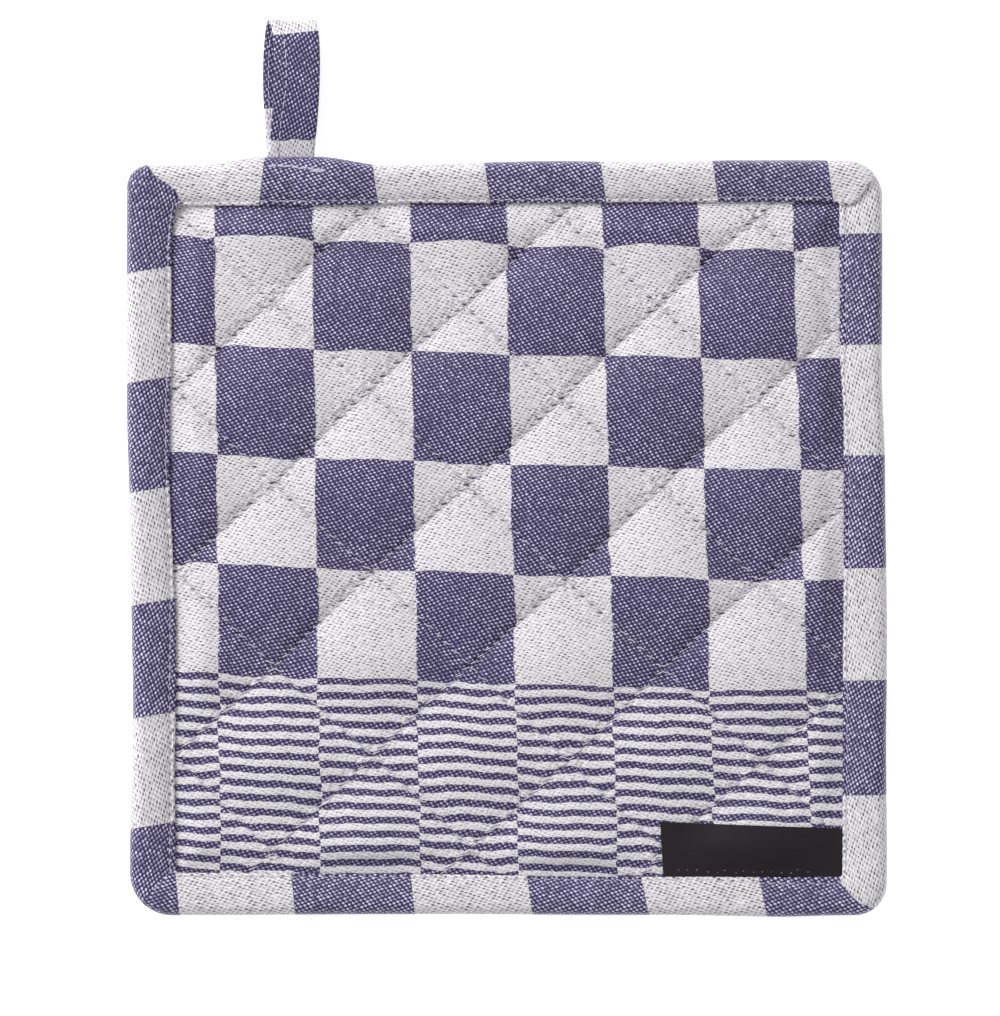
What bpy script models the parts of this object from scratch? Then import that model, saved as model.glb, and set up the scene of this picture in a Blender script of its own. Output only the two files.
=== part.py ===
"""A quilted cotton pot holder with a bound edge, a hanging loop and a small sewn label.

Metres, +Z up. It lies flat, face up, with its loop towards +Y. The shapes are worked out from the
middle of the quilted square, and an empty then carries the whole thing to where the origin is the
middle of the base of its bounding box.
"""
import math
from collections import namedtuple

import bmesh
import bpy
from mathutils import Vector
from mathutils.bvhtree import BVHTree

MM = 0.001

# Clearances between the pieces
PIECE_GAP = 0.3 * MM

# Binding: a strip folded over the edge and stitched down
STRIP_WALL = 1.2 * MM
STITCHED_TOP = 5.9 * MM

# Distance from the middle of the pad to the free edge of the binding, at both ends of a side
SIDE_HALF = 88.0 * MM
LIPS = {
    "left": (86.6 * MM, 88.2 * MM),
    "right": (88.4 * MM, 87.4 * MM),
    "bottom": (88.1 * MM, 89.1 * MM),
    "top": (88.0 * MM, 88.5 * MM),
}

# The outer edge is not quite straight: (place along the side, distance out from the middle)
SWAYS = {
    "left": ((-85, 99.2), (-47, 98.4), (0, 99.1), (36, 100.0), (85, 100.0)),
    "right": ((-85, 100.0), (-55, 99.7), (-27, 100.0), (20, 99.4), (44, 98.6), (85, 98.7)),
    "bottom": ((-85, 99.2), (-28, 98.9), (40, 99.1), (72, 99.6), (88, 99.2)),
    "top": ((-88, 98.1), (-35, 98.1), (14, 99.2), (35, 98.9), (61, 99.4), (85, 99.4)),
}

# Corners, anticlockwise: which way they lie, where their round starts, how round the strip is there,
# where on the round its fold lies and how far the strip after the fold stands up over the one before
Corner = namedtuple("Corner", "across up start_deg round_mm fold_deg proud_mm")
CORNERS = (
    Corner("right", "top", 0.0, 7.5, 40.0, 0.9),
    Corner("left", "top", 90.0, 5.5, 98.0, 1.3),
    Corner("left", "bottom", 180.0, 11.0, 225.0, 0.4),
    Corner("right", "bottom", 270.0, 8.5, 313.0, 0.8),
)
FAN_DEG = (0.0, 22.5, 45.0, 67.5, 90.0)
FOLD_HALF_DEG = 2.0
FOLD_CLEAR_DEG = 8.0
FOLD_RUN = 14.0 * MM
FOLD_LOOK_BACK = 5
LIP_ROUND = 1.0 * MM
CORNER_CLEAR = 3.0 * MM
STATION_STEP = 11.0 * MM

# Section of the binding: (share of the width in from the outer edge, height), over the top first
STRIP_SECTION = (
    (1.00, 6.7), (0.96, 7.1), (0.86, 7.2), (0.70, 8.0), (0.46, 8.4), (0.22, 7.7), (0.06, 6.1),
    (0.00, 4.1), (0.05, 1.8), (0.20, 0.0), (0.95, 0.0), (0.95, 1.2), (0.19, 1.2), (0.14, 3.5),
    (0.19, 5.9), (1.00, 5.9),
)
POINTS_ON_TOP = 7

# Quilting: diamonds between two families of slanted seams
DIAMOND_WIDTH = 52.1 * MM
DIAMOND_HEIGHT = 48.3 * MM
RISING_SEAM_START = 0.4875
FALLING_SEAM_START = -0.072
SEAM_WAVER = 0.012
SEAM_DRIFT = 0.062
SEAM_FANNING = 0.009
DIAMOND_STEPS = (0.0, 0.06, 0.18, 0.38, 0.62, 0.82, 0.94)
DIAMONDS_EACH_WAY = 9
FIRST_DIAMOND = -4

# Heights of the pad
SEAM_TOP = 6.1 * MM
PUFF_RISE = 3.4 * MM
MARGIN_TOP = STITCHED_TOP - PIECE_GAP
SEAM_UNDER = 2.3 * MM
PUFF_DROP = 3.9 * MM
MARGIN_UNDER = STRIP_WALL + PIECE_GAP
PUFF_SHAPE = 0.55
PUFF_UNEVEN = 0.08
EDGE_RAMP = 7.0 * MM
PAD_INSET = 2.6 * MM
MARGIN_PAST_LIP = 0.6 * MM
CORNER_CUTS_DEG = (22.5, 45.0, 67.5)
PAD_ROUND_EXTRA = 1.8
FLAT_ENOUGH = 1e-4

# Hanging loop: a tape doubled over, its two ends one on the other under the top binding
TAPE_WIDTH = 12.0 * MM
TAPE_THICKNESS = 1.7 * MM
TAPE_EDGE_ROUND = 0.45 * MM
LOOP_ACROSS = -57.1 * MM
LoopPoint = namedtuple("LoopPoint", "y z x")
LOOP_PATH = (
    LoopPoint(91.5, 2.85, -57.1), LoopPoint(98.5, 2.95, -57.1), LoopPoint(104.0, 4.2, -56.7),
    LoopPoint(110.0, 6.2, -56.1), LoopPoint(117.0, 7.8, -55.6), LoopPoint(125.0, 8.4, -55.4),
    LoopPoint(131.0, 8.0, -55.7), LoopPoint(134.6, 6.3, -56.2), LoopPoint(135.45, 4.3, -56.8),
    LoopPoint(134.4, 2.1, -57.4), LoopPoint(131.3, 0.95, -57.9), LoopPoint(125.0, 0.85, -58.3),
    LoopPoint(115.0, 0.85, -58.2), LoopPoint(101.0, 0.85, -57.3), LoopPoint(91.5, 0.85, -57.1),
)
LOOP_STEPS_BETWEEN = 3

# The loop's two ends lift the edge of the pot holder and push it out a little
LIFT = 4.0 * MM
LIFT_FLAT_HALF = 7.5 * MM
LIFT_STEP = 3.6 * MM
LIFT_STEPS = 5
LIFT_FULL_FROM = 90.0 * MM
LIFT_ZERO_AT = 64.0 * MM
LIFT_SQUEEZE = 0.35
PAD_THICKNESS = 8.4 * MM
LOOP_PUSH = 2.1 * MM

# Label
LABEL_LEFT = 40.3 * MM
LABEL_TOP = -74.5 * MM
LABEL_THICKNESS = 0.6 * MM
LABEL_COLUMNS = 16
LABEL_ROWS = 5
LABEL_REACH = 2.0 * MM


def ease(share):
    """Smooth step from 0 to 1."""
    share = min(max(share, 0.0), 1.0)
    return share * share * (3.0 - 2.0 * share)


def along_rows(rows, place):
    """Read a table of (place, value) rows at a place, easing from row to row."""
    if place <= rows[0][0]:
        return rows[0][1]
    for (start, first), (end, last) in zip(rows, rows[1:]):
        if place <= end:
            return first + (last - first) * ease((place - start) / (end - start))
    return rows[-1][1]


def loop_nearness(x):
    """1 over the ends of the hanging loop, fading to 0 beside them in short straight stretches."""
    steps = min(max((abs(x - LOOP_ACROSS) - LIFT_FLAT_HALF) / LIFT_STEP, 0.0), LIFT_STEPS)
    low = min(math.floor(steps), LIFT_STEPS - 1)
    first, last = ease(low / LIFT_STEPS), ease((low + 1) / LIFT_STEPS)
    return 1.0 - first - (last - first) * (steps - low)


def lift_lines():
    """Places along the top side where a stretch of the lift ends."""
    far = [LIFT_FLAT_HALF + LIFT_STEP * step for step in range(LIFT_STEPS + 1)]
    left = [LOOP_ACROSS - away for away in reversed(far)]
    return left + [LOOP_ACROSS] + [LOOP_ACROSS + away for away in far]


def outer_edge(side, along):
    """Distance from the middle of the pad to the outer edge of the binding."""
    reach = along_rows(SWAYS[side], along / MM) * MM
    if side == "top":
        reach += LOOP_PUSH * loop_nearness(along)
    return reach


def lip(side, along):
    """Distance from the middle of the pad to the free edge of the binding on the face."""
    low, high = LIPS[side]
    share = min(max(0.5 + 0.5 * along / SIDE_HALF, 0.0), 1.0)
    return low + (high - low) * share


def lift(x, y):
    """How far the loop's ends underneath raise the pot holder."""
    return LIFT * loop_nearness(x) * ease((y - LIFT_ZERO_AT) / (LIFT_FULL_FROM - LIFT_ZERO_AT))


def lifted(x, y, height):
    """Height of a point once the loop's ends have lifted it; the wadding gives way a little."""
    return height + lift(x, y) * (1.0 - LIFT_SQUEEZE * height / PAD_THICKNESS)


# ---------------------------------------------------------------- materials and objects

def make_material(name, colour, roughness):
    material = bpy.data.materials.new(name)
    material.use_nodes = True
    shader = material.node_tree.nodes["Principled BSDF"]
    shader.inputs["Base Color"].default_value = (*colour, 1.0)
    shader.inputs["Roughness"].default_value = roughness
    shader.inputs["Metallic"].default_value = 0.0
    material.diffuse_color = (*colour, 1.0)
    return material


def make_object(name, shape, material, collection, parent):
    """Turn a bmesh into a named object of the part."""
    bmesh.ops.recalc_face_normals(shape, faces=shape.faces)
    mesh = bpy.data.meshes.new(name)
    shape.to_mesh(mesh)
    shape.free()
    mesh.materials.append(material)
    mesh.shade_smooth()
    part = bpy.data.objects.new(name, mesh)
    collection.objects.link(part)
    part.parent = parent
    return part


# ---------------------------------------------------------------- quilted pad

def seam_lines():
    """Places of the grid lines across the diamonds, in diamonds, closer together beside a seam."""
    lines = [FIRST_DIAMOND + cell + step for cell in range(DIAMONDS_EACH_WAY) for step in DIAMOND_STEPS]
    return lines + [FIRST_DIAMOND + DIAMONDS_EACH_WAY]


def quilt_to_plan(rising, falling):
    """Plan position of a point given by how many seams of each family lie before it."""
    waver = SEAM_WAVER * math.sin(2.3 * falling + 1.9 * rising)
    drift = SEAM_DRIFT * math.sin(0.62 * (falling - 0.4)) + SEAM_FANNING * (rising - 0.3)
    first = rising - RISING_SEAM_START + waver
    second = falling - FALLING_SEAM_START - drift - waver
    return Vector((0.5 * DIAMOND_WIDTH * (first + second), 0.5 * DIAMOND_HEIGHT * (second - first), 0.0))


def puff(rising, falling):
    """Fullness of the quilting, from 0 on a seam to 1 in the middle of a diamond."""
    across = 2.0 * (rising - math.floor(rising)) - 1.0
    along = 2.0 * (falling - math.floor(falling)) - 1.0
    fullness = max((1.0 - across * across) * (1.0 - along * along), 0.0) ** PUFF_SHAPE
    unevenness = PUFF_UNEVEN * math.sin(12.9 * math.floor(rising) + 7.8 * math.floor(falling))
    return fullness * (1.0 + unevenness)


def inside_margin(x, y):
    """Distance in from the nearest line where the flat margin under the binding ends."""
    clear = (
        lip("right", y) - x, lip("left", y) + x,
        lip("top", x) - y, lip("bottom", x) + y,
    )
    return min(clear) - MARGIN_PAST_LIP


def cut_along(grid, faces, point, outward, discard):
    """Cut faces along a vertical plane, with or without throwing the outer side away."""
    edges = {edge for face in faces for edge in face.edges}
    verts = {vert for face in faces for vert in face.verts}
    bmesh.ops.bisect_plane(
        grid, geom=[*verts, *edges, *faces], dist=1e-6,
        plane_co=point, plane_no=outward, clear_outer=discard,
    )


def side_frame(side):
    """Outward and along directions of a side."""
    return {
        "right": (Vector((1, 0, 0)), Vector((0, 1, 0))),
        "left": (Vector((-1, 0, 0)), Vector((0, 1, 0))),
        "top": (Vector((0, 1, 0)), Vector((1, 0, 0))),
        "bottom": (Vector((0, -1, 0)), Vector((1, 0, 0))),
    }[side]


def pad_reach(side):
    """Nominal distance from the middle to the pad's own cut edge."""
    values = [row[1] for row in SWAYS[side]]
    return sum(values) / len(values) * MM - PAD_INSET


def cut_margin_line(grid, side):
    """Give the grid an edge where the flat margin under the binding ends."""
    outward, along = side_frame(side)
    low = outward * (lip(side, -SIDE_HALF) - MARGIN_PAST_LIP) - along * SIDE_HALF
    high = outward * (lip(side, SIDE_HALF) - MARGIN_PAST_LIP) + along * SIDE_HALF
    normal = (high - low).cross(Vector((0.0, 0.0, 1.0)))
    cut_along(grid, grid.faces[:], low, normal, False)


def cut_corner(grid, corner):
    """Round one corner of the pad with a few slanted cuts."""
    radius = (corner.round_mm + PAD_ROUND_EXTRA) * MM
    across = side_frame(corner.across)[0]
    up = side_frame(corner.up)[0]
    centre = across * (pad_reach(corner.across) - radius) + up * (pad_reach(corner.up) - radius)
    for turn in CORNER_CUTS_DEG:
        outward = across * math.cos(math.radians(turn)) + up * math.sin(math.radians(turn))
        cut_along(grid, grid.faces[:], centre + outward * radius, outward, True)


def follow_outline(point):
    """Move a point of the flat margin so that the pad's cut edge sways as the binding does."""
    moved = point.copy()
    for side in SWAYS:
        outward, along = side_frame(side)
        place = point.dot(along)
        margin = lip(side, place)
        reach = pad_reach(side)
        share = min(max((point.dot(outward) - margin) / (reach - margin), 0.0), 1.0)
        moved += outward * share * (outer_edge(side, place) - PAD_INSET - reach)
    return moved


def build_pad(material, collection, parent):
    lines = seam_lines()
    count = len(lines) - 1
    grid = bmesh.new()
    bmesh.ops.create_grid(grid, x_segments=count, y_segments=count, size=0.5)
    fullness = grid.verts.layers.float.new("fullness")
    for vert in grid.verts:
        rising = lines[round((vert.co.x + 0.5) * count)]
        falling = lines[round((vert.co.y + 0.5) * count)]
        vert[fullness] = puff(rising, falling)
        vert.co = quilt_to_plan(rising, falling)
    for side in SWAYS:
        outward = side_frame(side)[0]
        cut_along(grid, grid.faces[:], outward * pad_reach(side), outward, True)
    for corner in CORNERS:
        cut_corner(grid, corner)
    for side in SWAYS:
        cut_margin_line(grid, side)
    for place in lift_lines():
        lifted_faces = [face for face in grid.faces if max(vert.co.y for vert in face.verts) > LIFT_ZERO_AT]
        cut_along(grid, lifted_faces, Vector((place, 0.0, 0.0)), Vector((1.0, 0.0, 0.0)), False)
    for face in grid.faces:
        if face.normal.z < 0.0:
            face.normal_flip()
    under_faces = grid.faces[:]
    raised = bmesh.ops.extrude_face_region(grid, geom=under_faces)
    face_points = {item for item in raised["geom"] if isinstance(item, bmesh.types.BMVert)}
    for vert in grid.verts:
        x, y = vert.co.x, vert.co.y
        share = ease(inside_margin(x, y) / EDGE_RAMP)
        if vert in face_points:
            height = MARGIN_TOP + (SEAM_TOP - MARGIN_TOP + PUFF_RISE * vert[fullness]) * share
        else:
            sunk = max(SEAM_UNDER - PUFF_DROP * vert[fullness], 0.0)
            height = MARGIN_UNDER + (sunk - MARGIN_UNDER) * share
        vert.co = follow_outline(vert.co)
        vert.co.z = lifted(x, y, height)
    flat = [edge for edge in grid.edges if edge.calc_face_angle(math.pi) < FLAT_ENOUGH]
    bmesh.ops.dissolve_limit(grid, angle_limit=FLAT_ENOUGH, edges=flat, verts=[])
    bmesh.ops.triangulate(grid, faces=grid.faces)
    return make_object("quilted_pad", grid, material, collection, parent)


# ---------------------------------------------------------------- binding

Station = namedtuple("Station", "outer inner proud")


def even_places(start, end):
    count = max(round((end - start) / STATION_STEP), 1)
    return [start + (end - start) * step / count for step in range(count)]


def side_places(side, start, end):
    """Places of the sections along a side, with those of the lift on the top side."""
    if side != "top":
        return even_places(start, end) + [end]
    lines = lift_lines()
    return even_places(start, lines[0]) + lines[:-1] + even_places(lines[-1], end) + [end]


def side_stations(side, start, end):
    outward, along = side_frame(side)
    stations = []
    for place in side_places(side, start, end):
        outer = outward * outer_edge(side, place) + along * place
        inner = outward * lip(side, place) + along * place
        stations.append(Station(outer, inner, 0.0))
    return stations


def corner_stations(corner):
    """Sections fanned round a corner, with two close together where one strip lies on the other."""
    across, up = side_frame(corner.across)[0], side_frame(corner.up)[0]
    end_across, end_up = across.x * SIDE_HALF, up.y * SIDE_HALF
    radius = corner.round_mm * MM
    reach_across = outer_edge(corner.across, end_up)
    reach_up = outer_edge(corner.up, end_across)
    outer_centre = across * (reach_across - radius) + up * (reach_up - radius)
    lip_across = lip(corner.across, end_up)
    lip_up = lip(corner.up, end_across)
    lip_centre = across * (lip_across - LIP_ROUND) + up * (lip_up - LIP_ROUND)
    turns = [corner.start_deg + turn for turn in FAN_DEG]
    turns = [turn for turn in turns if abs(turn - corner.fold_deg) >= FOLD_CLEAR_DEG]
    turns += [corner.fold_deg - FOLD_HALF_DEG, corner.fold_deg + FOLD_HALF_DEG]
    stations = []
    for turn in sorted(turns):
        outward = Vector((math.cos(math.radians(turn)), math.sin(math.radians(turn)), 0.0))
        proud = corner.proud_mm * MM if turn > corner.fold_deg else 0.0
        stations.append(Station(outer_centre + outward * radius, lip_centre + outward * LIP_ROUND, proud))
    return stations


def ring_stations():
    """All sections of the binding, anticlockwise from the bottom of the right side."""
    right, left = lip("right", 0.0), lip("left", 0.0)
    top, bottom = lip("top", 0.0), lip("bottom", 0.0)
    fans = [corner_stations(corner) for corner in CORNERS]
    sides = [
        side_stations("right", CORNER_CLEAR - bottom, top - CORNER_CLEAR),
        side_stations("top", CORNER_CLEAR - left, right - CORNER_CLEAR)[::-1],
        side_stations("left", CORNER_CLEAR - bottom, top - CORNER_CLEAR)[::-1],
        side_stations("bottom", CORNER_CLEAR - left, right - CORNER_CLEAR),
    ]
    ring = []
    for side, fan in zip(sides, fans):
        ring += side + fan
    return ring


def fold_height(ring, index):
    """How far the strip stands up at a section because of the nearest fold before it."""
    if ring[index].proud > 0.0:
        return ring[index].proud
    walked = 0.0
    for back in range(1, FOLD_LOOK_BACK):
        here, before = ring[(index - back + 1) % len(ring)], ring[(index - back) % len(ring)]
        walked += (here.inner - before.inner).length
        if before.proud > 0.0:
            return before.proud * (1.0 - ease(walked / FOLD_RUN))
    return 0.0


def build_binding(material, collection, parent):
    ring = ring_stations()
    shape = bmesh.new()
    loops = []
    for index, station in enumerate(ring):
        proud = fold_height(ring, index)
        points = []
        for order, (share, height_mm) in enumerate(STRIP_SECTION):
            point = station.outer.lerp(station.inner, share)
            height = height_mm * MM
            if order < POINTS_ON_TOP:
                height += proud
            point.z = lifted(point.x, point.y, height)
            points.append(shape.verts.new(point))
        loops.append(points)
    for here, beyond in zip(loops, loops[1:] + loops[:1]):
        for one, two, three, four in zip(here, here[1:] + here[:1], beyond[1:] + beyond[:1], beyond):
            shape.faces.new((one, two, three, four))
    return make_object("binding", shape, material, collection, parent)


# ---------------------------------------------------------------- hanging loop

def through(rows, steps):
    """Points on a smooth curve through the rows."""
    knots = [Vector((row.x * MM, row.y * MM, row.z * MM)) for row in rows]
    knots = [2.0 * knots[0] - knots[1]] + knots + [2.0 * knots[-1] - knots[-2]]
    points = []
    for before, start, end, after in zip(knots, knots[1:], knots[2:], knots[3:]):
        for step in range(steps):
            share = step / steps
            points.append(0.5 * (
                2.0 * start + (end - before) * share
                + (2.0 * before - 5.0 * start + 4.0 * end - after) * share ** 2
                + (3.0 * start - before - 3.0 * end + after) * share ** 3
            ))
    points.append(knots[-2])
    for point in points:
        point.z = max(point.z, 0.5 * TAPE_THICKNESS)
    return points


def build_loop(material, collection, parent):
    route = through(LOOP_PATH, LOOP_STEPS_BETWEEN)
    shape = bmesh.new()
    bmesh.ops.create_grid(shape, x_segments=1, y_segments=len(route) - 1, size=0.5)
    for vert in shape.verts:
        here = route[round((vert.co.y + 0.5) * (len(route) - 1))]
        vert.co = here + Vector((2.0 * vert.co.x * 0.5 * TAPE_WIDTH, 0.0, 0.0))
    tape = make_object("hanging_loop", shape, material, collection, parent)
    wall = tape.modifiers.new("thickness", "SOLIDIFY")
    wall.thickness = TAPE_THICKNESS
    wall.offset = 0.0
    wall.use_even_offset = True
    edge = tape.modifiers.new("soft_edge", "BEVEL")
    edge.width = TAPE_EDGE_ROUND
    edge.segments = 1
    edge.limit_method = "ANGLE"
    edge.angle_limit = math.radians(60.0)
    return tape


# ---------------------------------------------------------------- label

def build_label(pad, material, collection, parent):
    """A thin slab that lies on the quilting beside the binding."""
    under = bmesh.new()
    under.from_mesh(pad.data)
    surface = BVHTree.FromBMesh(under)
    under.free()
    right = lip("right", LABEL_TOP) - PIECE_GAP - 0.1 * MM
    bottom = -lip("bottom", LABEL_LEFT) + PIECE_GAP + 0.4 * MM
    shape = bmesh.new()
    bmesh.ops.create_grid(shape, x_segments=LABEL_COLUMNS, y_segments=LABEL_ROWS, size=0.5)
    for vert in shape.verts:
        x = LABEL_LEFT + (right - LABEL_LEFT) * (vert.co.x + 0.5)
        y = bottom + (LABEL_TOP - bottom) * (vert.co.y + 0.5)
        heights = []
        for step_x, step_y in ((0, 0), (1, 0), (-1, 0), (0, 1), (0, -1), (1, 1), (-1, -1), (1, -1), (-1, 1)):
            above = Vector((x + step_x * LABEL_REACH, y + step_y * LABEL_REACH, 1.0))
            hit = surface.ray_cast(above, Vector((0.0, 0.0, -1.0)))[0]
            heights.append(hit.z)
        vert.co = Vector((x, y, max(heights) + PIECE_GAP))
    label = make_object("label", shape, material, collection, parent)
    wall = label.modifiers.new("thickness", "SOLIDIFY")
    wall.thickness = LABEL_THICKNESS
    wall.offset = 1.0
    return label


# ---------------------------------------------------------------- whole pot holder

def centre_on_base(stand, parts):
    """Move the stand so that the origin is the middle of the base of the bounding box."""
    bpy.context.view_layer.update()
    graph = bpy.context.evaluated_depsgraph_get()
    points = []
    for part in parts:
        evaluated = part.evaluated_get(graph)
        points += [evaluated.matrix_world @ Vector(corner) for corner in evaluated.bound_box]
    low = Vector([min(point[axis] for point in points) for axis in range(3)])
    high = Vector([max(point[axis] for point in points) for axis in range(3)])
    stand.location = -Vector((0.5 * (low.x + high.x), 0.5 * (low.y + high.y), low.z))


def build_pot_holder():
    for old in list(bpy.data.objects):
        bpy.data.objects.remove(old, do_unlink=True)
    collection = bpy.data.collections.new("pot_holder")
    bpy.context.scene.collection.children.link(collection)
    stand = bpy.data.objects.new("stand", None)
    collection.objects.link(stand)
    quilt = make_material("quilted_check", (0.36, 0.36, 0.47), 0.9)
    strip = make_material("binding_check", (0.30, 0.30, 0.42), 0.9)
    tape = make_material("loop_check", (0.14, 0.14, 0.27), 0.9)
    satin = make_material("label_satin", (0.02, 0.02, 0.025), 0.5)
    pad = build_pad(quilt, collection, stand)
    parts = [
        pad,
        build_binding(strip, collection, stand),
        build_loop(tape, collection, stand),
        build_label(pad, satin, collection, stand),
    ]
    centre_on_base(stand, parts)


build_pot_holder()
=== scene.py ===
"""Looks of a quilted check pot holder, built round its packed CAD model.

The quilted pad, the folded binding, the doubled hanging loop and the small label are cloth, and every
stitch is a piece of thread. Shapes are worked out in millimetres from the middle of the quilted square
and set down in the frame of the packed model, which is in metres.
"""

import math
from collections import namedtuple

import bmesh
import bpy
import numpy as np
from bpy.props import FloatProperty, FloatVectorProperty, PointerProperty
from mathutils import Matrix, Vector
from mathutils.bvhtree import BVHTree


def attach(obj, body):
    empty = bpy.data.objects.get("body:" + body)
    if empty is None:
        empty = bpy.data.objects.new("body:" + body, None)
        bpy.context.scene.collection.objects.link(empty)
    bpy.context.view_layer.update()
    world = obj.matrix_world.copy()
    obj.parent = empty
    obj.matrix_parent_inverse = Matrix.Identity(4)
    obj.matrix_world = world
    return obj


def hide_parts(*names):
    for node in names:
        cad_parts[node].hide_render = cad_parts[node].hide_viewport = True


bl_info = {
    "name": "Quilted Pot Holder",
    "version": (1, 0, 0),
    "blender": (4, 5, 0),
    "location": "View3D > Sidebar > Pot Holder",
    "description": "Dresses the packed model of a quilted pot holder with cloth, thread and light",
    "category": "Object",
}

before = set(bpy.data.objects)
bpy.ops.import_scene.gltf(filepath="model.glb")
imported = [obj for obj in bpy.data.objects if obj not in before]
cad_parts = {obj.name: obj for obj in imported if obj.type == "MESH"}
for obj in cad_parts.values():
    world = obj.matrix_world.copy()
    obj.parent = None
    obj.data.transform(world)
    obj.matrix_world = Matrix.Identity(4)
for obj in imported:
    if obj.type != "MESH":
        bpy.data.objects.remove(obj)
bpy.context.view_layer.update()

MM = 0.001
TURN = 2.0 * math.pi
SHIFT_Y = -18.359          # from the middle of the square to the origin of the packed model

# ---------------- the sides of the square

CLOCKWISE = ("top", "right", "bottom", "left")
OUTWARD = {"top": (0, 1), "right": (1, 0), "bottom": (0, -1), "left": (-1, 0)}
NORMAL_DEG = {"top": 90.0, "right": 0.0, "bottom": 270.0, "left": 180.0}
SIDE_HALF = 88.0           # where a side ends and the corner starts

# From the middle to the binding's free edge, then to its outer edge: (place along the side, distance)
LIPS = {
    "left": (
        (-88, 87.2), (-60, 87.6), (-42, 87.2), (-20, 87.2), (-8, 88.0), (15, 88.9), (31, 88.9), (50, 88.4),
        (76, 88.4), (89, 87.3),
    ),
    "right": ((-88, 88.4), (-30, 88.5), (-20, 88.7), (31, 88.7), (52, 87.6), (86, 87.5)),
    "bottom": ((-88, 88.2), (-28, 88.6), (31, 89.3), (88, 89.2)),
    "top": ((-88, 87.6), (-50, 87.5), (-35, 87.9), (-28, 88.3), (24, 88.3), (31, 88.5), (88, 88.6)),
}
SWAYS = {
    "left": ((-85, 99.2), (-47, 98.4), (0, 99.1), (36, 100.0), (85, 100.0)),
    "right": ((-85, 100.0), (-55, 99.7), (-27, 100.0), (20, 99.4), (44, 98.6), (85, 98.7)),
    "bottom": ((-85, 99.2), (-28, 98.9), (40, 99.1), (72, 99.6), (88, 99.2)),
    "top": ((-88, 98.1), (-35, 98.1), (14, 99.2), (35, 98.9), (61, 99.4), (85, 99.4)),
}

# ---------------- the quilting

# A wave over two numbers: its size, how fast it turns with each number, and where it starts
Wave = namedtuple("Wave", "size first second start")

DIAMOND_WIDTH, DIAMOND_HEIGHT, DIAMOND_SIDE = 52.1, 48.3, 35.4
SEAMS_FROM, SEAMS_TO = -5, 5
RISING_START, FALLING_START = 0.4875, -0.072
SEAM_WAVER = (Wave(0.012, 1.9, 2.3, 0.0),)
SEAM_DRIFT = (Wave(0.062, 0.0, 0.62, -0.248),)
SEAM_FANNING, FANNING_FROM = 0.009, 0.3
SEAM_TOP, MARGIN_TOP, SEAM_UNDER, MARGIN_UNDER = 6.1, 5.6, 2.3, 1.5
UNDER_PUFF = 3.9
EDGE_RAMP, PAD_INSET, MARGIN_PAST_LIP = 7.0, 2.6, 0.6
PAD_THICKNESS = 8.4
PAD_CORNER = 1.8           # how much rounder than the binding's the pad's own corners are
UNEVEN_PUFF = (Wave(0.08, 12.9, 7.8, 0.0),)
# The grid across half a diamond: the first lines beside the seam, and how the steps grow from there
GRID_START, GRID_GROWTH = (0.0, 0.0085, 0.0195), 1.22
GRID_REACH = 104.0
CORNER_CUTS = (22.5, 45.0, 67.5)

# Drag lines beside a seam: how close they are, how they wander and how they shift from seam to seam
Drag = namedtuple("Drag", "rate wander wander_rate shift")
RISING_DRAG, FALLING_DRAG = Drag(31.0, 2.1, 5.3, 1.7), Drag(27.0, 2.4, 4.1, 2.9)
DRAG_REACH = 0.30

# Heights on the pad between which a change comes in, and the same for the stripes, in seams down the pad
UPPER_PART, LOWER_PART, STRIPED_PART = (52.0, 77.0), (-2.0, -18.0), (-34.0, -42.0)
STRIPED_DIAMONDS = (1.8, 2.4)
FLATTER_PART, FLATTER_BY = (-28.0, -46.0), 0.34

# ---------------- the cloth

# Warp ends and picks in a check, and picks in a pair of stripes
CHECK_ENDS, CHECK_PICKS, STRIPE_PICKS = 50.0, 80.0, 10.0
BLUE_STRIPE = 0.50
STRIPES_FROM = 5
END_PITCH, PICK_PITCH = 0.535, 0.36
STRIPE_PAIR = 3.671

# How the checks lie: where the first column and the first row start, how far that leans, how wide or high
# they are and how that grows, both for each millimetre from an origin down or across the pad
Lay = namedtuple("Lay", "start lean pitch growth origin")
COLUMNS, ROWS = Lay(-77.50, 0.00913, 25.37, 0.00342, 83.16), Lay(79.47, -0.01803, 28.75, 0.00246, -83.42)
Bow = namedtuple("Bow", "most fade middle span")
COLUMN_BOW, ROW_BOW = Bow(1.26, 0.079, 2.9, 1.0), Bow(0.62, 0.42, 17.0, 70.0)
MEAN_COLUMN = 25.5

# How far the cloth swells up over each diamond, and how much more on the upper part
SWELL, UPPER_SWELL = 0.5, 1.2
# How unevenly the two families of seams draw in the cloth, over the other family's count and their own
UNEVEN_RISING, UNEVEN_FALLING = (Wave(0.35, 9.1, 4.7, 0.0),), (Wave(0.5, 8.3, 3.9, 0.0),)
LOWER_PULL, STRIPED_PULL = 0.5, 1.1
PINCH_CORE = 0.3
# How the threads waver, across and up
ENDS_WAVER = (Wave(0.14, 0.0, 0.13, 0.7), Wave(0.12, 0.05, 0.37, 0.0), Wave(0.07, -0.3, 0.9, 0.0))
PICKS_WAVER = (Wave(0.16, 0.11, 0.0, 1.1), Wave(0.14, 0.41, 0.04, 0.0), Wave(0.08, 0.85, 0.4, 0.0))
STRIPES_WAVER = (Wave(0.2, 0.19, 0.13, 2.0),)

# Where the blocks of the binding change, from the middle of each side, clockwise from the top left;
# the sum of the numbers of blocks before it is even where the strip turns from blue to white
BLOCK_EDGES = {
    "top": (1, (-64.5, -34.7, -5.3, 25.3, 54.7, 85.0)),
    "right": (7, (80.1, 50.8, 21.8, -7.9, -37.4, -67.6)),
    "bottom": (14, (67.4, 36.5, 6.1, -24.7, -56.2, -86.6)),
    "left": (20, (-75.5, -46.6, -16.8, 12.6, 41.6, 70.5)),
}
BLOCK_LENGTH = 30.0
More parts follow.
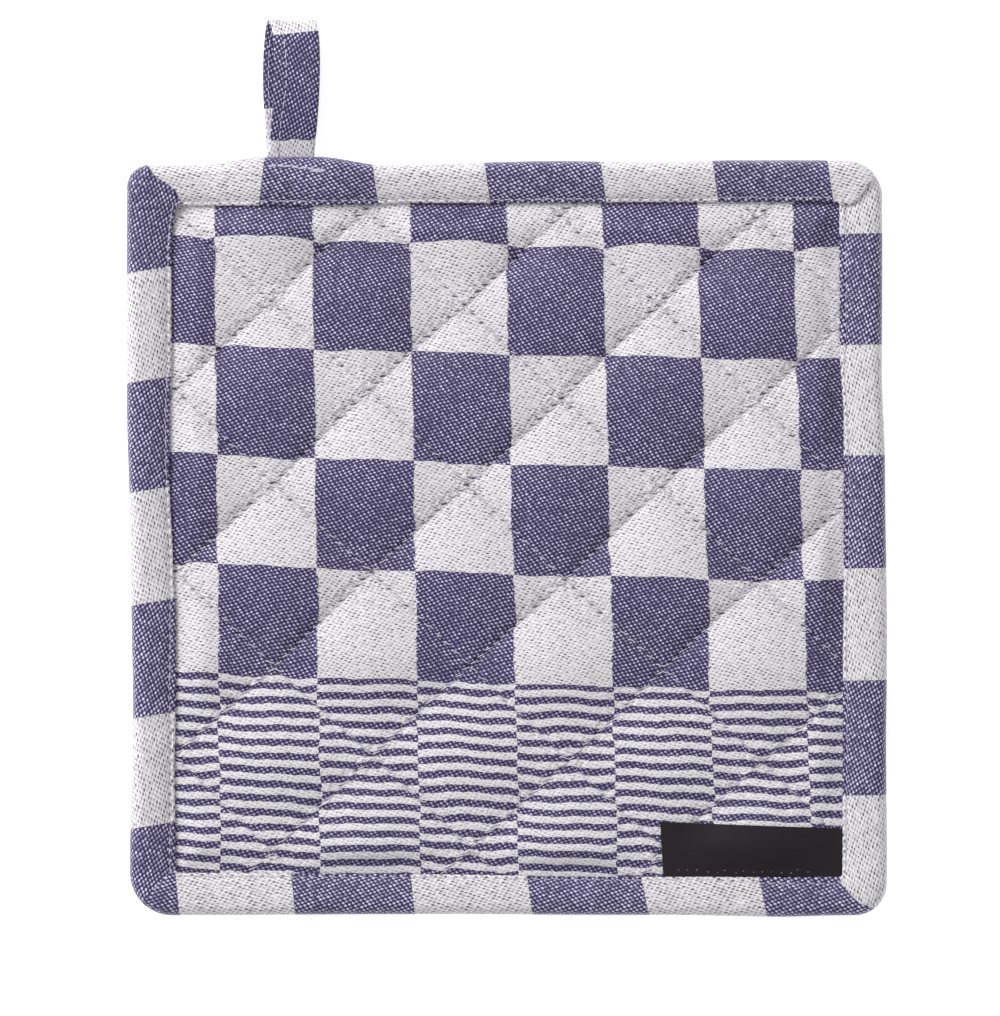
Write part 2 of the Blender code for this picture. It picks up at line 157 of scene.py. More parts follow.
# How far the ends of the blocks lean, and the way that the loop pulls the one beside it
BLOCK_SLANT = {
    "top": ((-88, 0.15), (88, 0.15)), "right": ((-88, 0.02), (88, 0.02)),
    "bottom": ((-60, 0.21), (36, 0.10)), "left": ((-88, 0.16), (88, 0.16)),
}
LOOP_SLANT, LOOP_SLANT_AT, LOOP_SLANT_REACH = -0.27, -64.5, 12.0

# ---------------- the binding

# How the strip's end, where it lies on the next strip, departs from the straight line between its
# free edge and its outer edge: (share of that line from the free edge, how far over the next strip)
Fold = namedtuple("Fold", "turn proud bow")
FOLDS = {
    ("top", "right"): Fold(40.0, 1.3, ((0, 0), (0.15, 1.7), (0.3, 2.1), (0.47, 1.65), (0.76, 0.8), (1, 0))),
    ("right", "bottom"): Fold(
        313.0, 0.8, ((0, 0), (0.11, 0.9), (0.4, 1.6), (0.68, 1.7), (0.93, 0.3), (1, 0)),
    ),
    ("bottom", "left"): Fold(225.0, 0.4, ((0, 0), (0.3, 0.5), (0.6, 0.1), (0.8, -0.3), (1, 0))),
    ("left", "top"): Fold(
        98.0, 1.3, ((0, 0), (0.1, 0.5), (0.24, 1.1), (0.38, 0.9), (0.52, 0.3), (0.71, -0.5), (1, 0)),
    ),
}
ROUNDS = {("top", "right"): 9.5, ("right", "bottom"): 8.5, ("bottom", "left"): 11.0, ("left", "top"): 5.5}
LIP_ROUND = 1.0
LIP_CLEAR = 3.0            # how far short of the next strip's free edge the straight part of a strip ends
FAN_ROWS = 14
FOLD_RUN, BOW_RUN = 14.0, 9.0
UNDER_RISE = 0.06
# A strip's end turns down over the next strip: (further along, down); its start runs on under the strip
# before it, and the outer edge goes less far along than the free edge
TUCKED_END = ((0.35, 0.12), (0.55, 0.4), (0.6, 0.9), (0.5, 1.5))
UNDER_REACHES, UNDER_DROP = (1.0, 2.2), 0.25
OUTER_AT_END, OUTER_AT_START = 0.6, 0.5
PLAN_STEP = 1.3            # sections of a strip, as a share of the step asked for

# Middle of the folded cloth across the strip: (share of the width in from the outer edge, height).
# It starts at the cut edge turned in on the face and ends at the one turned in underneath.
STRIP_WIDTH = 11.5
STRIP_FOLD = (
    (0.42, 6.10), (0.62, 6.08), (0.80, 6.08), (0.94, 6.10), (0.988, 6.26), (0.988, 6.48), (0.966, 6.66),
    (0.950, 6.66), (0.935, 6.58), (0.918, 6.66), (0.87, 6.98), (0.79, 7.34), (0.68, 7.66), (0.55, 7.92),
    (0.42, 8.10), (0.31, 8.18), (0.20, 8.08), (0.11, 7.52), (0.052, 6.50), (0.022, 5.20), (0.02, 3.90),
    (0.035, 2.70), (0.075, 1.55), (0.14, 0.70), (0.22, 0.30), (0.32, 0.28), (0.50, 0.28), (0.70, 0.28),
    (0.90, 0.28), (0.955, 0.38), (0.965, 0.58), (0.93, 0.80), (0.80, 0.86), (0.60, 0.86), (0.45, 0.86),
)
SEEN_FOLD = slice(10, 20)  # the rows of the fold that show from above, in to out
TOP_FROM = 5.9             # height over which the cloth is on the face, and under which it goes round
TURNED_IN_BELOW = 6.2
CLOTH_AT_LIP, SLANT_MIDDLE = 12.0, 6.0
STITCH_LINE = 0.935        # share of the width where the strip is stitched down in that section
STITCHED_AT = 6.58
# How far the stitch line lies from the free edge: (place along the side, distance)
STITCH_FROM_LIP = {
    "left": (
        (-88, 1.6), (-70, 1.0), (-55, 0.8), (-40, 1.7), (-20, 1.4), (-8, 0.6), (10, 0.6), (25, 1.0),
        (88, 0.8),
    ),
    "right": ((-88, 0.8), (-40, 0.9), (-20, 0.6), (-5, 1.1), (22, 1.2), (40, 0.6), (52, 1.5), (80, 1.7)),
    "top": ((-86, 0.8), (-55, 1.1), (-35, 0.9), (-10, 0.6), (15, 0.9), (40, 0.6), (60, 1.0), (85, 1.0)),
    "bottom": ((-88, 0.9), (-40, 0.6), (50, 0.6), (70, 1.6), (88, 1.8)),
}
# How much fuller than that section the cloth stands over its crest
FULLNESS = {"left": 1.4, "top": 1.3, "right": 1.0, "bottom": 0.95}
FULL_FROM, FULL_ABOVE = 18.0, 6.7
# Ripples along the strip and from side to side, and how they fade from the outer to the free edge
RIPPLES = (Wave(1.0, 0.47, 1.0, 0.0), Wave(0.7, 0.83, 2.0, 0.0), Wave(0.5, 0.19, 1.0, 0.0))
RIPPLE_SHIFT = 3.1
RIPPLE_FADE = ((0.0, 0.3, 0.8, 1.0), (0.0, 1.0, 0.6, 0.0))

# ---------------- the hanging loop and the label

LOOP_ACROSS = -57.1
LIFT, LIFT_FLAT_HALF, LIFT_FADE = 4.0, 7.5, 18.0
LIFT_ZERO_AT, LIFT_FULL_FROM, LIFT_SQUEEZE, LOOP_PUSH = 64.0, 90.0, 0.35, 2.1
TAPE_THICKNESS, TAPE_TOP = 1.7, 0.76
LAYER_AIR = 0.03
# Middle of the tape from its upper end round to its lower end: (x, y, z)
LOOP_PATH = (
    (-56.9, 91.5, 2.85), (-56.9, 98.5, 2.95), (-56.5, 104.0, 4.2), (-55.9, 110.0, 6.2), (-55.4, 117.0, 7.8),
    (-55.2, 125.0, 8.4), (-55.4, 131.0, 8.0), (-55.9, 134.6, 6.3), (-56.5, 135.45, 4.3), (-57.4, 134.4, 2.1),
    (-57.9, 131.3, 0.95), (-58.3, 125.0, 0.85), (-58.2, 115.0, 0.85), (-57.3, 101.0, 0.85),
    (-57.1, 91.5, 0.85),
)
# The tape's four layers in section: (place across, height in layers)
TAPE_FOLD = (
    (3.6, 0.5), (0.0, 0.5), (-4.0, 0.5), (-5.55, 0.55), (-5.82, 1.0), (-5.5, 1.5), (-4.0, 1.5), (0.0, 1.55),
    (4.0, 1.5), (5.4, 1.42), (5.82, 0.8), (5.88, 0.0), (5.82, -0.8), (5.4, -1.42), (4.0, -1.5),
    (0.0, -1.55), (-4.0, -1.5), (-5.5, -1.5), (-5.78, -1.0), (-5.55, -0.55), (-4.0, -0.5), (0.0, -0.5),
    (3.6, -0.5),
)
# Along the tape: where its blocks change, how they slant, and how far beside its middle it is stitched
TAPE_BLOCKS_AT = (13.8, 41.8, 48.6, 70.9)
TAPE_SLANT = ((14.0, 42.0, 52.0), (-0.11, 0.02, 0.0))
TAPE_SEAM = ((12.0, 20.0, 27.0, 34.0, 42.0, 50.0), (-3.5, -3.5, -2.75, -2.75, -3.3, -4.5))

# The label: how far it keeps off the binding, how its left edge leans and its upper edge drops, how wide
# a hollow of the quilting it bridges, and how far it stands up
LABEL_LEFT, LABEL_TOP = 40.3, -74.5
LABEL_CLEAR, LABEL_CLEAR_BELOW = 0.2, 0.35
LABEL_LEAN, LABEL_DROP = 0.8, 1.7
LABEL_GRID = (97, 31)
LABEL_BRIDGES, LABEL_RAISED, LABEL_AIR = 4.0, 0.42, 0.02

# ---------------- the sewing

# Stitches along one side of a diamond and how far each leans out of the seam, in degrees; the needle holes
# beside the seam, with the painted shade in them; the dips at the holes; the drag lines; how far the thread
# hides the weave
Seam = namedtuple("Seam", "stitches lean hole_at hole_length hole_dark notch notch_width drag calm")
RISING_SEAM = Seam(13, -20.0, -0.22, 1.3, 1.7, 0.00034, 2.6, 0.0015, 0.3)
FALLING_SEAM = Seam(11, 20.0, -0.15, 1.1, 1.3, 0.00009, 1.6, 0.0009, 0.7)
HOLE_LEAN = math.radians(32.0)
HOLE_WIDTH = 0.42
STRIPED_HOLES, STRIPED_NOTCHES = 0.35, 0.6
STRIP_STITCH = 2.7

Stitch = namedtuple("Stitch", "start end up")
ThreadRing = namedtuple("ThreadRing", "along rise girth")
HALF_STITCH = (
    ThreadRing(-0.50, -1.5, 0.45), ThreadRing(-0.43, -0.1, 0.85), ThreadRing(-0.22, 0.85, 1.0),
)
STITCH_RINGS = (
    *HALF_STITCH, ThreadRing(0.0, 1.05, 1.05),
    *(ring._replace(along=-ring.along) for ring in reversed(HALF_STITCH)),
)
# How a stitch that isn't even differs: in its lean, in degrees, its length and its place
UNEVEN_LEAN, UNEVEN_LENGTH, UNEVEN_PLACE = 25.0, 0.6, 0.5
FINE_THREAD, LABEL_THREAD = 0.9, 0.7      # thicknesses, as shares of the quilting thread's
# The quilting's stitches run on under the binding and stop at the label
SEWN_PAST_MARGIN, SEWN_PAST_LABEL = 1.5, 0.5
# A strip's stitches lean to and fro from side to side, and end at the corners' folds
STRIP_LEAN = {"top": -9.0, "right": 9.0, "bottom": -9.0, "left": 9.0}
STRIP_SEWN_TO, SEWN_SECTIONS = 91.5, slice(2, -6)
TAPE_STITCH_SHARE, CLEAR_OF_TABLE = 0.86, 0.0006
# A wavering row across the loop's ends, closer and thicker at its right end
BAR_TACK = (
    (-62.6, 97.5), (-60.4, 97.9), (-58.6, 97.5), (-56.4, 97.7), (-54.6, 97.0), (-52.4, 97.2),
    (-50.8, 96.6), (-49.0, 96.8), (-47.8, 96.3), (-49.6, 96.5), (-51.2, 96.3), (-48.6, 96.2),
    (-47.9, 96.6),
)
BAR_TACK_ROWS, BAR_TACK_RAISED, BAR_TACK_FULL_ABOVE = (0.0, 0.2), 0.28, 7.0
# The label's row: how far from its left edge, to where, its step, and how far it is up and wavers
LABEL_ROW = (4.0, 82.0, 2.4)
LABEL_ROW_UP, LABEL_ROW_WAVER = 1.6, 0.1

# ---------------- the stage, in metres

TABLE_SIZE, TABLE_DROP = 8.0, 0.0002
KEY_PLACE, KEY_SIZE = (-1.15, 1.10, 1.25), 0.9
CAMERA_PLACE, CAMERA_OVER = (-0.00184, -0.01046), 0.005
SENSOR_MM, SEEN_TO = 36.0, 20.0


# ---------------- shapes, in millimetres

def eased(place, start, end):
    """Smooth step from 0 at the start to 1 at the end."""
    share = np.clip((place - start) / (end - start), 0.0, 1.0)
    return share * share * (3.0 - 2.0 * share)


def along_rows(rows, place):
    """Read a table of (place, value) rows, easing from row to row."""
    place = np.asarray(place, float)
    value = np.full(place.shape, float(rows[0][1]))
    for (start, first), (end, last) in zip(rows, rows[1:]):
        value = np.where(place > start, first + (last - first) * eased(place, start, end), value)
    return value


def waves(rows, first, second=0.0):
    """Sum of sine waves over two numbers."""
    return sum(row.size * np.sin(row.first * first + row.second * second + row.start) for row in rows)


def bowed(bow, place):
    """Most in the middle, falling off to both sides."""
    return bow.most - bow.fade * ((place - bow.middle) / bow.span) ** 2


def loop_nearness(x):
    """1 over the ends of the hanging loop, fading to 0 beside them."""
    return eased(np.abs(x - LOOP_ACROSS), LIFT_FLAT_HALF + LIFT_FADE, LIFT_FLAT_HALF)


def outer_edge(side, along):
    """Distance from the middle of the pad to the outer edge of the binding."""
    reach = along_rows(SWAYS[side], along)
    return reach + LOOP_PUSH * loop_nearness(along) if side == "top" else reach


def lip(side, along):
    """Distance from the middle of the pad to the free edge of the binding on the face."""
    return along_rows(LIPS[side], along)


def lifted(x, y, height):
    """Height of a point once the loop's ends underneath have raised it."""
    lift = LIFT * loop_nearness(x) * eased(y, LIFT_ZERO_AT, LIFT_FULL_FROM)
    return height + lift * (1.0 - LIFT_SQUEEZE * height / PAD_THICKNESS)


def seam_shifts(rising, falling):
    """How far the two families of seams depart from straight, even lines, as shares of a diamond."""
    waver = waves(SEAM_WAVER, rising, falling)
    drift = waves(SEAM_DRIFT, rising, falling) + SEAM_FANNING * (rising - FANNING_FROM)
    return waver, -drift - waver


def quilt_to_plan(rising, falling):
    """Plan position of a point given by how many seams of each family lie before it."""
    shift_rising, shift_falling = seam_shifts(rising, falling)
    first = rising - RISING_START + shift_rising
    second = falling - FALLING_START + shift_falling
    return 0.5 * DIAMOND_WIDTH * (first + second), 0.5 * DIAMOND_HEIGHT * (second - first)


def plan_to_quilt(x, y):
    """The other way round, closing in on the shifts."""
    first = x / DIAMOND_WIDTH - y / DIAMOND_HEIGHT + RISING_START
    second = x / DIAMOND_WIDTH + y / DIAMOND_HEIGHT + FALLING_START
    rising, falling = first, second
    for _ in range(8):
        shift_rising, shift_falling = seam_shifts(rising, falling)
        rising, falling = first - shift_rising, second - shift_falling
    return rising, falling


def off_seam(place, channel=0.0):
    """0 over the width of a seam's channel, 1 in the middle of a diamond."""
    away = 1.0 - np.abs(2.0 * (place - np.floor(place)) - 1.0)
    return np.clip((away - channel) / (1.0 - channel), 0.0, 1.0)


def crown(place, channel=0.0):
    """The same, rounded off in the middle."""
    return 1.0 - (1.0 - off_seam(place, channel)) ** 2


def puff(rising, falling, quilt):
    """Fullness of the quilting, from 0 on a seam to 1 in the middle of a diamond."""
    softer = quilt.softer_stripes * eased(rising - falling, *STRIPED_DIAMONDS)
    fullness = crown(rising, quilt.channel_share) ** (quilt.shape_rising + softer)
    fullness = fullness * crown(falling, quilt.channel_share) ** (quilt.shape_falling + softer)
    return fullness * (1.0 + waves(UNEVEN_PUFF, np.floor(rising), np.floor(falling)))


def inside_margin(x, y):
    """Distance in from the nearest line where the flat margin under the binding ends."""
    clear = [lip("right", y) - x, lip("left", y) + x, lip("top", x) - y, lip("bottom", x) + y]
    return np.minimum.reduce(clear) - MARGIN_PAST_LIP


def crumple(rising, falling):
    """Small drag lines that run off the seams across the cloth."""
    height = 0.0
    for across, along, drag in ((rising, falling, RISING_DRAG), (falling, rising, FALLING_DRAG)):
        near = np.exp(-(off_seam(across) / DRAG_REACH) ** 2)
        wander = drag.wander * np.sin(drag.wander_rate * along) + drag.shift * np.floor(across + 0.5)
        height = height + near * np.sin(drag.rate * along + wander)
    return height


def face_height(x, y, quilt):
    """Height of the pad's face before the loop lifts it."""
    rising, falling = plan_to_quilt(x, y)
    fullness = puff(rising, falling, quilt)
    flatter = 1.0 - FLATTER_BY * eased(y, *FLATTER_PART)
    raised = SEAM_TOP - MARGIN_TOP + quilt.puff_rise / MM * fullness * flatter
    raised += quilt.crumple / MM * crumple(rising, falling) * np.minimum(fullness * 2.0, 1.0)
    return MARGIN_TOP + raised * eased(inside_margin(x, y), 0.0, EDGE_RAMP)


def under_height(x, y, quilt):
    """Height of the pad's underside, flattened where it lies on the table."""
    sunk = np.maximum(SEAM_UNDER - UNDER_PUFF * puff(*plan_to_quilt(x, y), quilt), 0.0)
    return MARGIN_UNDER + (sunk - MARGIN_UNDER) * eased(inside_margin(x, y), 0.0, EDGE_RAMP)


def pinch(place, hidden, reach):
    """How far a seam draws in the cloth beside it, as a share of a diamond's side."""
    away = (place - np.round(place)) * DIAMOND_SIDE
    return hidden / DIAMOND_SIDE * away / (np.abs(away) + PINCH_CORE) * np.exp(-np.abs(away) / reach)


def cloth_threads(x, y, quilt):
    """Which warp end and which pick of the cloth lie at a place on the quilting."""
    rising, falling = plan_to_quilt(x, y)
    striped = eased(y, *STRIPED_PART)
    uneven = 1.0 + waves(UNEVEN_RISING, falling, np.round(rising)) + LOWER_PULL * eased(y, *LOWER_PART)
    other = 1.0 + waves(UNEVEN_FALLING, rising, np.round(falling)) + STRIPED_PULL * striped
    x, y = quilt_to_plan(
        rising + pinch(rising, quilt.drawn_rising / MM, quilt.drawn_reach / MM) * uneven,
        falling + pinch(falling, quilt.drawn_falling / MM, quilt.drawn_reach / MM) * other,
    )
    y = y - (SWELL + UPPER_SWELL * eased(y, *UPPER_PART)) * (crown(rising) * crown(falling) - 0.5)
    x = x + waves(ENDS_WAVER, x, y)
    y = y + waves(PICKS_WAVER, x, y)
    y = y + striped * waves(STRIPES_WAVER, x, y)
    down, beside = COLUMNS.origin - y, x - ROWS.origin
    columns = (x - COLUMNS.start - COLUMNS.lean * down) / (COLUMNS.pitch + COLUMNS.growth * down)
    columns = columns - bowed(COLUMN_BOW, columns) / MEAN_COLUMN
    depth = ROWS.start + ROWS.lean * beside - y
    row_height = ROWS.pitch + ROWS.growth * beside
    checks = CHECK_PICKS * (1.0 + (depth - bowed(ROW_BOW, x)) / row_height)
    first_stripe = CHECK_PICKS * STRIPES_FROM
    stripes = first_stripe + STRIPE_PICKS * (depth - (STRIPES_FROM - 1) * row_height) / STRIPE_PAIR
    return CHECK_ENDS * columns, np.where(checks < first_stripe, checks, stripes)


def side_point(side, along, reach):
    """Point beside the middle of the pad: so far along a side and so far out from the middle."""
    out = OUTWARD[side]
    return np.array((out[0] * reach + abs(out[1]) * along, out[1] * reach + abs(out[0]) * along))


def heading(degrees):
    return np.array((math.cos(math.radians(degrees)), math.sin(math.radians(degrees))))


def smooth_through(rows, steps):
    """Points on a smooth curve through the rows."""
    rows = np.asarray(rows, float)
    rows = np.vstack((2 * rows[0] - rows[1], rows, 2 * rows[-1] - rows[-2]))
    points = []
    for before, start, end, after in zip(rows, rows[1:], rows[2:], rows[3:]):
        for share in np.arange(steps) / steps:
            points.append(0.5 * (
                2.0 * start + (end - before) * share
                + (2.0 * before - 5.0 * start + 4.0 * end - after) * share ** 2
                + (3.0 * start - before - 3.0 * end + after) * share ** 3
            ))
    points.append(rows[-2])
    return np.array(points)


def walked(points):
    """Distance walked along a row of points."""
    steps = np.linalg.norm(np.diff(points, axis=0), axis=1)
    return np.concatenate(((0.0,), np.cumsum(steps)))


def evenly(points, step):
    """The same line with points about a step apart."""
    distance = walked(points)
    wanted = np.linspace(0.0, distance[-1], max(int(round(distance[-1] / step)), 1) + 1)
    return np.column_stack([np.interp(wanted, distance, column) for column in np.asarray(points).T])


# ---------------- meshes

def to_frame(points):
    """From millimetres round the middle of the pad to metres in the packed model's frame."""
    placed = np.array(points, float)
    placed[:, 1] += SHIFT_Y
    return placed * MM


def new_piece(name, mesh):
    piece = bpy.data.objects.new(name, mesh)
    bpy.context.scene.collection.objects.link(piece)
    return piece


def just_made(name):
    """The active object, once it and its data have a name."""
    made = bpy.context.view_layer.objects.active
    made.name = made.data.name = name
    return made


def only(piece):
    """Select one piece and nothing else."""
    bpy.ops.object.select_all(action="DESELECT")
    piece.select_set(True)
    bpy.context.view_layer.objects.active = piece


def grid_quads(index):
    """Four corners for each cell of a grid of point numbers."""
    return np.stack((index[:-1, :-1], index[:-1, 1:], index[1:, 1:], index[1:, :-1]), axis=-1).reshape(-1, 4)


def ribbon(name, points, maps):
    """A sheet from rows of points, with UV maps given as rows of pairs."""
    rows, columns = points.shape[:2]
    mesh = bpy.data.meshes.new(name)
    faces = grid_quads(np.arange(rows * columns).reshape(rows, columns))
    mesh.from_pydata(to_frame(points.reshape(-1, 3)).tolist(), [], faces.tolist())
    for label, pairs in maps.items():
        write_map(mesh, label, pairs.reshape(-1, 2))
    return new_piece(name, mesh)


def write_map(mesh, label, pairs):
    """Give a mesh a UV map from one pair of numbers for each vertex."""
    corner_verts = np.zeros(len(mesh.loops), np.int32)
    mesh.loops.foreach_get("vertex_index", corner_verts)
    layer = mesh.uv_layers.new(name=label)
    layer.data.foreach_set("uv", np.asarray(pairs, np.float32)[corner_verts].ravel())


def cloth_strip(name, sections, thickness):
    """A strip of check cloth from its sections, with its weave, blocks and stitch line as UV maps.

    A section has its points and, for each, the distance along and across the cloth, the count of
    blocks, and the distance along and away from the stitch line.
    """
    points, along, across, block, sewn, away = (np.array(part) for part in zip(*sections))
    piece = ribbon(name, points, {
        "threads": np.dstack((along / END_PITCH, across / PICK_PITCH)),
        "blocks": np.dstack((block, np.zeros(block.shape))),
        "stitched": np.dstack((sewn / STRIP_STITCH, away)),
    })
    thicken(piece, thickness)
    return piece


def thicken(piece, thickness):
    """Give a sheet its thickness, half on each side, and apply it."""
    only(piece)
    wall = piece.modifiers.new("cloth", "SOLIDIFY")
    wall.thickness = thickness
    wall.offset = 0.0
    bpy.ops.object.modifier_apply(modifier=wall.name)
    bpy.ops.object.mode_set(mode="EDIT")
    bpy.ops.mesh.select_all(action="SELECT")
    bpy.ops.mesh.normals_make_consistent(inside=False)
    bpy.ops.object.mode_set(mode="OBJECT")
    bpy.ops.object.shade_smooth_by_angle(angle=math.radians(50.0))


def join(pieces, name):
    """Join pieces into one, under a new name."""
    bpy.ops.object.select_all(action="DESELECT")
    for piece in pieces:
        piece.select_set(True)
    bpy.context.view_layer.objects.active = pieces[0]
    bpy.ops.object.join()
    return just_made(name)


def finish_piece(piece, material, stands_for=()):
    """Give a piece its material, let it ride on the pot holder and hide the packed model's parts that it
    stands for.
    """
    piece.data.materials.clear()
    piece.data.materials.append(material)
    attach(piece, "root")
    for node in stands_for:
        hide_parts(node)
    return piece


# ---------------- materials

def adds(operation, swapped=False):
    """A method of Value that adds one Math node, with its values swapped for the reflected form."""
    def method(self, *others):
        values = (*others, self) if swapped else (self, *others)
        return self.finish.maths(operation, *values)
    return method


class Value:
    """A number that varies over a surface: a socket that can be used in sums."""

    def __init__(self, finish, socket):
        self.finish = finish
        self.socket = socket

    __add__, __radd__ = adds("ADD"), adds("ADD", swapped=True)
    __sub__, __rsub__ = adds("SUBTRACT"), adds("SUBTRACT", swapped=True)
    __mul__, __rmul__ = adds("MULTIPLY"), adds("MULTIPLY", swapped=True)
    __truediv__, __mod__, __pow__ = adds("DIVIDE"), adds("FLOORED_MODULO"), adds("POWER")
    __abs__, __floor__, __round__ = adds("ABSOLUTE"), adds("FLOOR"), adds("ROUND")
    __lt__, __gt__ = adds("LESS_THAN"), adds("GREATER_THAN")


class Finish:
    """A material in the making."""

    def __init__(self, name):
        self.material = bpy.data.materials.new(name)
        self.material.use_nodes = True
        self.tree = self.material.node_tree
        self.tree.nodes.clear()

    def node(self, kind, settings=None, inputs=None):
        """Add a node: its settings first, then the values or links of its sockets."""
        made = self.tree.nodes.new(kind)
        for name, value in (settings or {}).items():
            setattr(made, name, value)
        for name, value in (inputs or {}).items():
            if isinstance(value, Value):
                self.tree.links.new(value.socket, made.inputs[name])
            else:
                made.inputs[name].default_value = value
        return made

    def value(self, kind, settings=None, inputs=None, name=0):
        """Add a node in the same way, for one of its outputs."""
        return Value(self, self.node(kind, settings, inputs).outputs[name])

    def maths(self, operation, *values):
        return self.value("ShaderNodeMath", {"operation": operation}, dict(enumerate(values)))

    def cosine(self, turns):
        return self.maths("COSINE", turns * TURN)

    def map_of(self, name):
        """The two numbers of one of the piece's UV maps."""
        place = self.value("ShaderNodeUVMap", {"uv_map": name})
        parts = self.node("ShaderNodeSeparateXYZ", inputs={0: place})
        return Value(self, parts.outputs[0]), Value(self, parts.outputs[1])

    def place(self):
        """Where a point of the piece is, in metres."""
        return self.value("ShaderNodeTexCoord", name="Object")

    def point(self, x, y, z=0.0):
        return self.value("ShaderNodeCombineXYZ", None, {0: x, 1: y, 2: z})

    def noise(self, point, scale=1.0, detail=2.0, roughness=0.5):
        inputs = {"Vector": point, "Scale": scale, "Detail": detail, "Roughness": roughness}
        return self.value("ShaderNodeTexNoise", None, inputs)

    def chance(self, x, y):
        """A number between 0 and 1 for each pair of whole numbers."""
        inputs = {"Vector": self.point(x, y)}
        return self.value("ShaderNodeTexWhiteNoise", {"noise_dimensions": "2D"}, inputs)

    def step(self, value, start, end):
        """Smooth step from 0 at the start to 1 at the end."""
        inputs = {"Value": value, "From Min": start, "From Max": end}
        return self.value("ShaderNodeMapRange", {"interpolation_type": "SMOOTHSTEP"}, inputs)

    def bell(self, distance, width):
        """1 where the distance is 0, fading out over the width."""
        return self.step(abs(distance), width, 0.0)

    def blend(self, share, first, second):
        """From the first colour to the second."""
        settings = {"data_type": "RGBA", "clamp_factor": True}
        return self.value("ShaderNodeMix", settings, {0: share, 6: first, 7: second}, 2)

    def dim(self, colour, share):
        """A colour times a number."""
        return self.value("ShaderNodeVectorMath", {"operation": "SCALE"}, {0: colour, "Scale": share})

    def surface(self, height, inputs):
        """End the material: a principled shader with a bump from a height in metres."""
        if height is not None:
            bump = {"Height": height, "Strength": 1.0, "Distance": 1.0}
            inputs = {**inputs, "Normal": self.value("ShaderNodeBump", None, bump)}
        shader = self.value("ShaderNodeBsdfPrincipled", None, inputs)
        self.node("ShaderNodeOutputMaterial", inputs={0: shader})
        return self.material


def rgba(colour):
    return (*colour, 1.0)


def check_cloth(name, cloth, pattern, seams, loose=1.0):
    """Cotton damask of indigo warp and white weft: five-end satin, warp-faced where it is blue.

    pattern says where the cloth is blue, seams what the stitches do to it, and loose how far its
    bindings open where it is stretched over a fold.
    """
    finish = Finish(name)
    ends, picks = finish.map_of("threads")
    blue, clear, rib = pattern(finish, ends, picks)

    # A satin's bindings lie on a slanting grid: first and second count its cells
    flipped = picks * (2.0 * blue - 1.0)
    first = (ends + 2.0 * flipped) * 0.2
    second = (2.0 * ends - flipped) * 0.2
    off_first = first - round(first)
    off_second = second - round(second)
    chance = finish.chance(round(first), round(second))
    other = (chance * 57.0) % 1.0
    off_end = off_first + 2.0 * off_second + cloth.unsteady * (chance - 0.5)
    off_pick = 2.0 * off_first - off_second + cloth.unsteady * (other - 0.5)
    wide = off_end / (cloth.dash_width + (cloth.dot_width - cloth.dash_width) * blue)
    high = off_pick / (cloth.dash_height + (cloth.dot_height - cloth.dash_height) * blue)
    bound = finish.step((wide * wide + high * high) ** 0.5 + 0.35 * other, 1.45 * loose, 0.75 * loose)

    def varied(per_end, per_pick, layer, *settings):
        """Noise over the threads, drawn out along the warp or the weft."""
        return finish.noise(finish.point(ends * per_end, picks * per_pick, layer), *settings)

    worn = varied(0.5, 0.37, 7.0, 0.085)
    shown = (0.02 + 0.68 * worn + 0.74 * chance) * (0.4 + 0.6 * clear)
    white_shown = blue * bound * shown + (1.0 - blue) * (1.0 - 0.20 * bound)
    warp_uneven = varied(0.9, 0.021, 0.0)
    weft_uneven = varied(0.019, 0.8, 4.0)
    fibre = varied(0.75, 0.6, 9.0, 1.0, 4.0, 0.7)
    floats = varied(0.24, 0.9, 5.0)
    patchy = varied(0.5, 0.4, 2.0, 0.05, 3.0)
    warp_round = finish.cosine(ends)
    weft_round = finish.cosine(picks)
    # Painted shade and light on the warp: indigo is painted shade midway between the weft's dots, indigo_lit
    # is a painted highlight beside each dot
    between = 0.5 + 0.25 * (finish.cosine(first) + finish.cosine(second))

    warp = finish.blend(between, rgba(cloth.indigo), rgba(cloth.indigo_lit))
    weft = finish.blend(blue, rgba(cloth.white), rgba(cloth.white_on_blue))
    warp = finish.dim(warp, 0.10 + 0.70 * warp_uneven + 0.20 * patchy + 0.90 * fibre)
    weft = finish.dim(weft, 0.28 + 0.10 * weft_uneven + 0.08 * patchy + 0.62 * fibre + 0.66 * floats)
    colour = finish.blend(white_shown, warp, weft)
    # dark is the painted shade in the needle holes beside the seams
    dark, dimple, calm = seams(finish)
    # Painted shade in the gap where each warp dash sinks between the weft on white
    gap = bound * (1.0 - blue) * (0.30 + 1.0 * chance) * cloth.dash_shade * clear * (1.0 - calm)
    # warp_round here paints shading across each round warp end on blue: painted light on its crown, painted
    # shade between ends
    colour = finish.dim(colour, (1.0 - gap + 0.15 * warp_round * blue * (1.0 - bound)) * (1.0 - dark))

    height = 0.5 * warp_round * blue + 0.5 * weft_round * (1.0 - blue) + bound * (1.9 * blue - 0.9)
    height = (height + 0.5 * fibre) * cloth.weave_height
    return finish.surface(height + rib + dimple, {
        "Base Color": colour, "Roughness": 0.66 - 0.16 * blue - 0.10 * warp_uneven,
        "Specular IOR Level": cloth.gloss, "Sheen Weight": cloth.sheen, "Sheen Roughness": 0.45,
    })


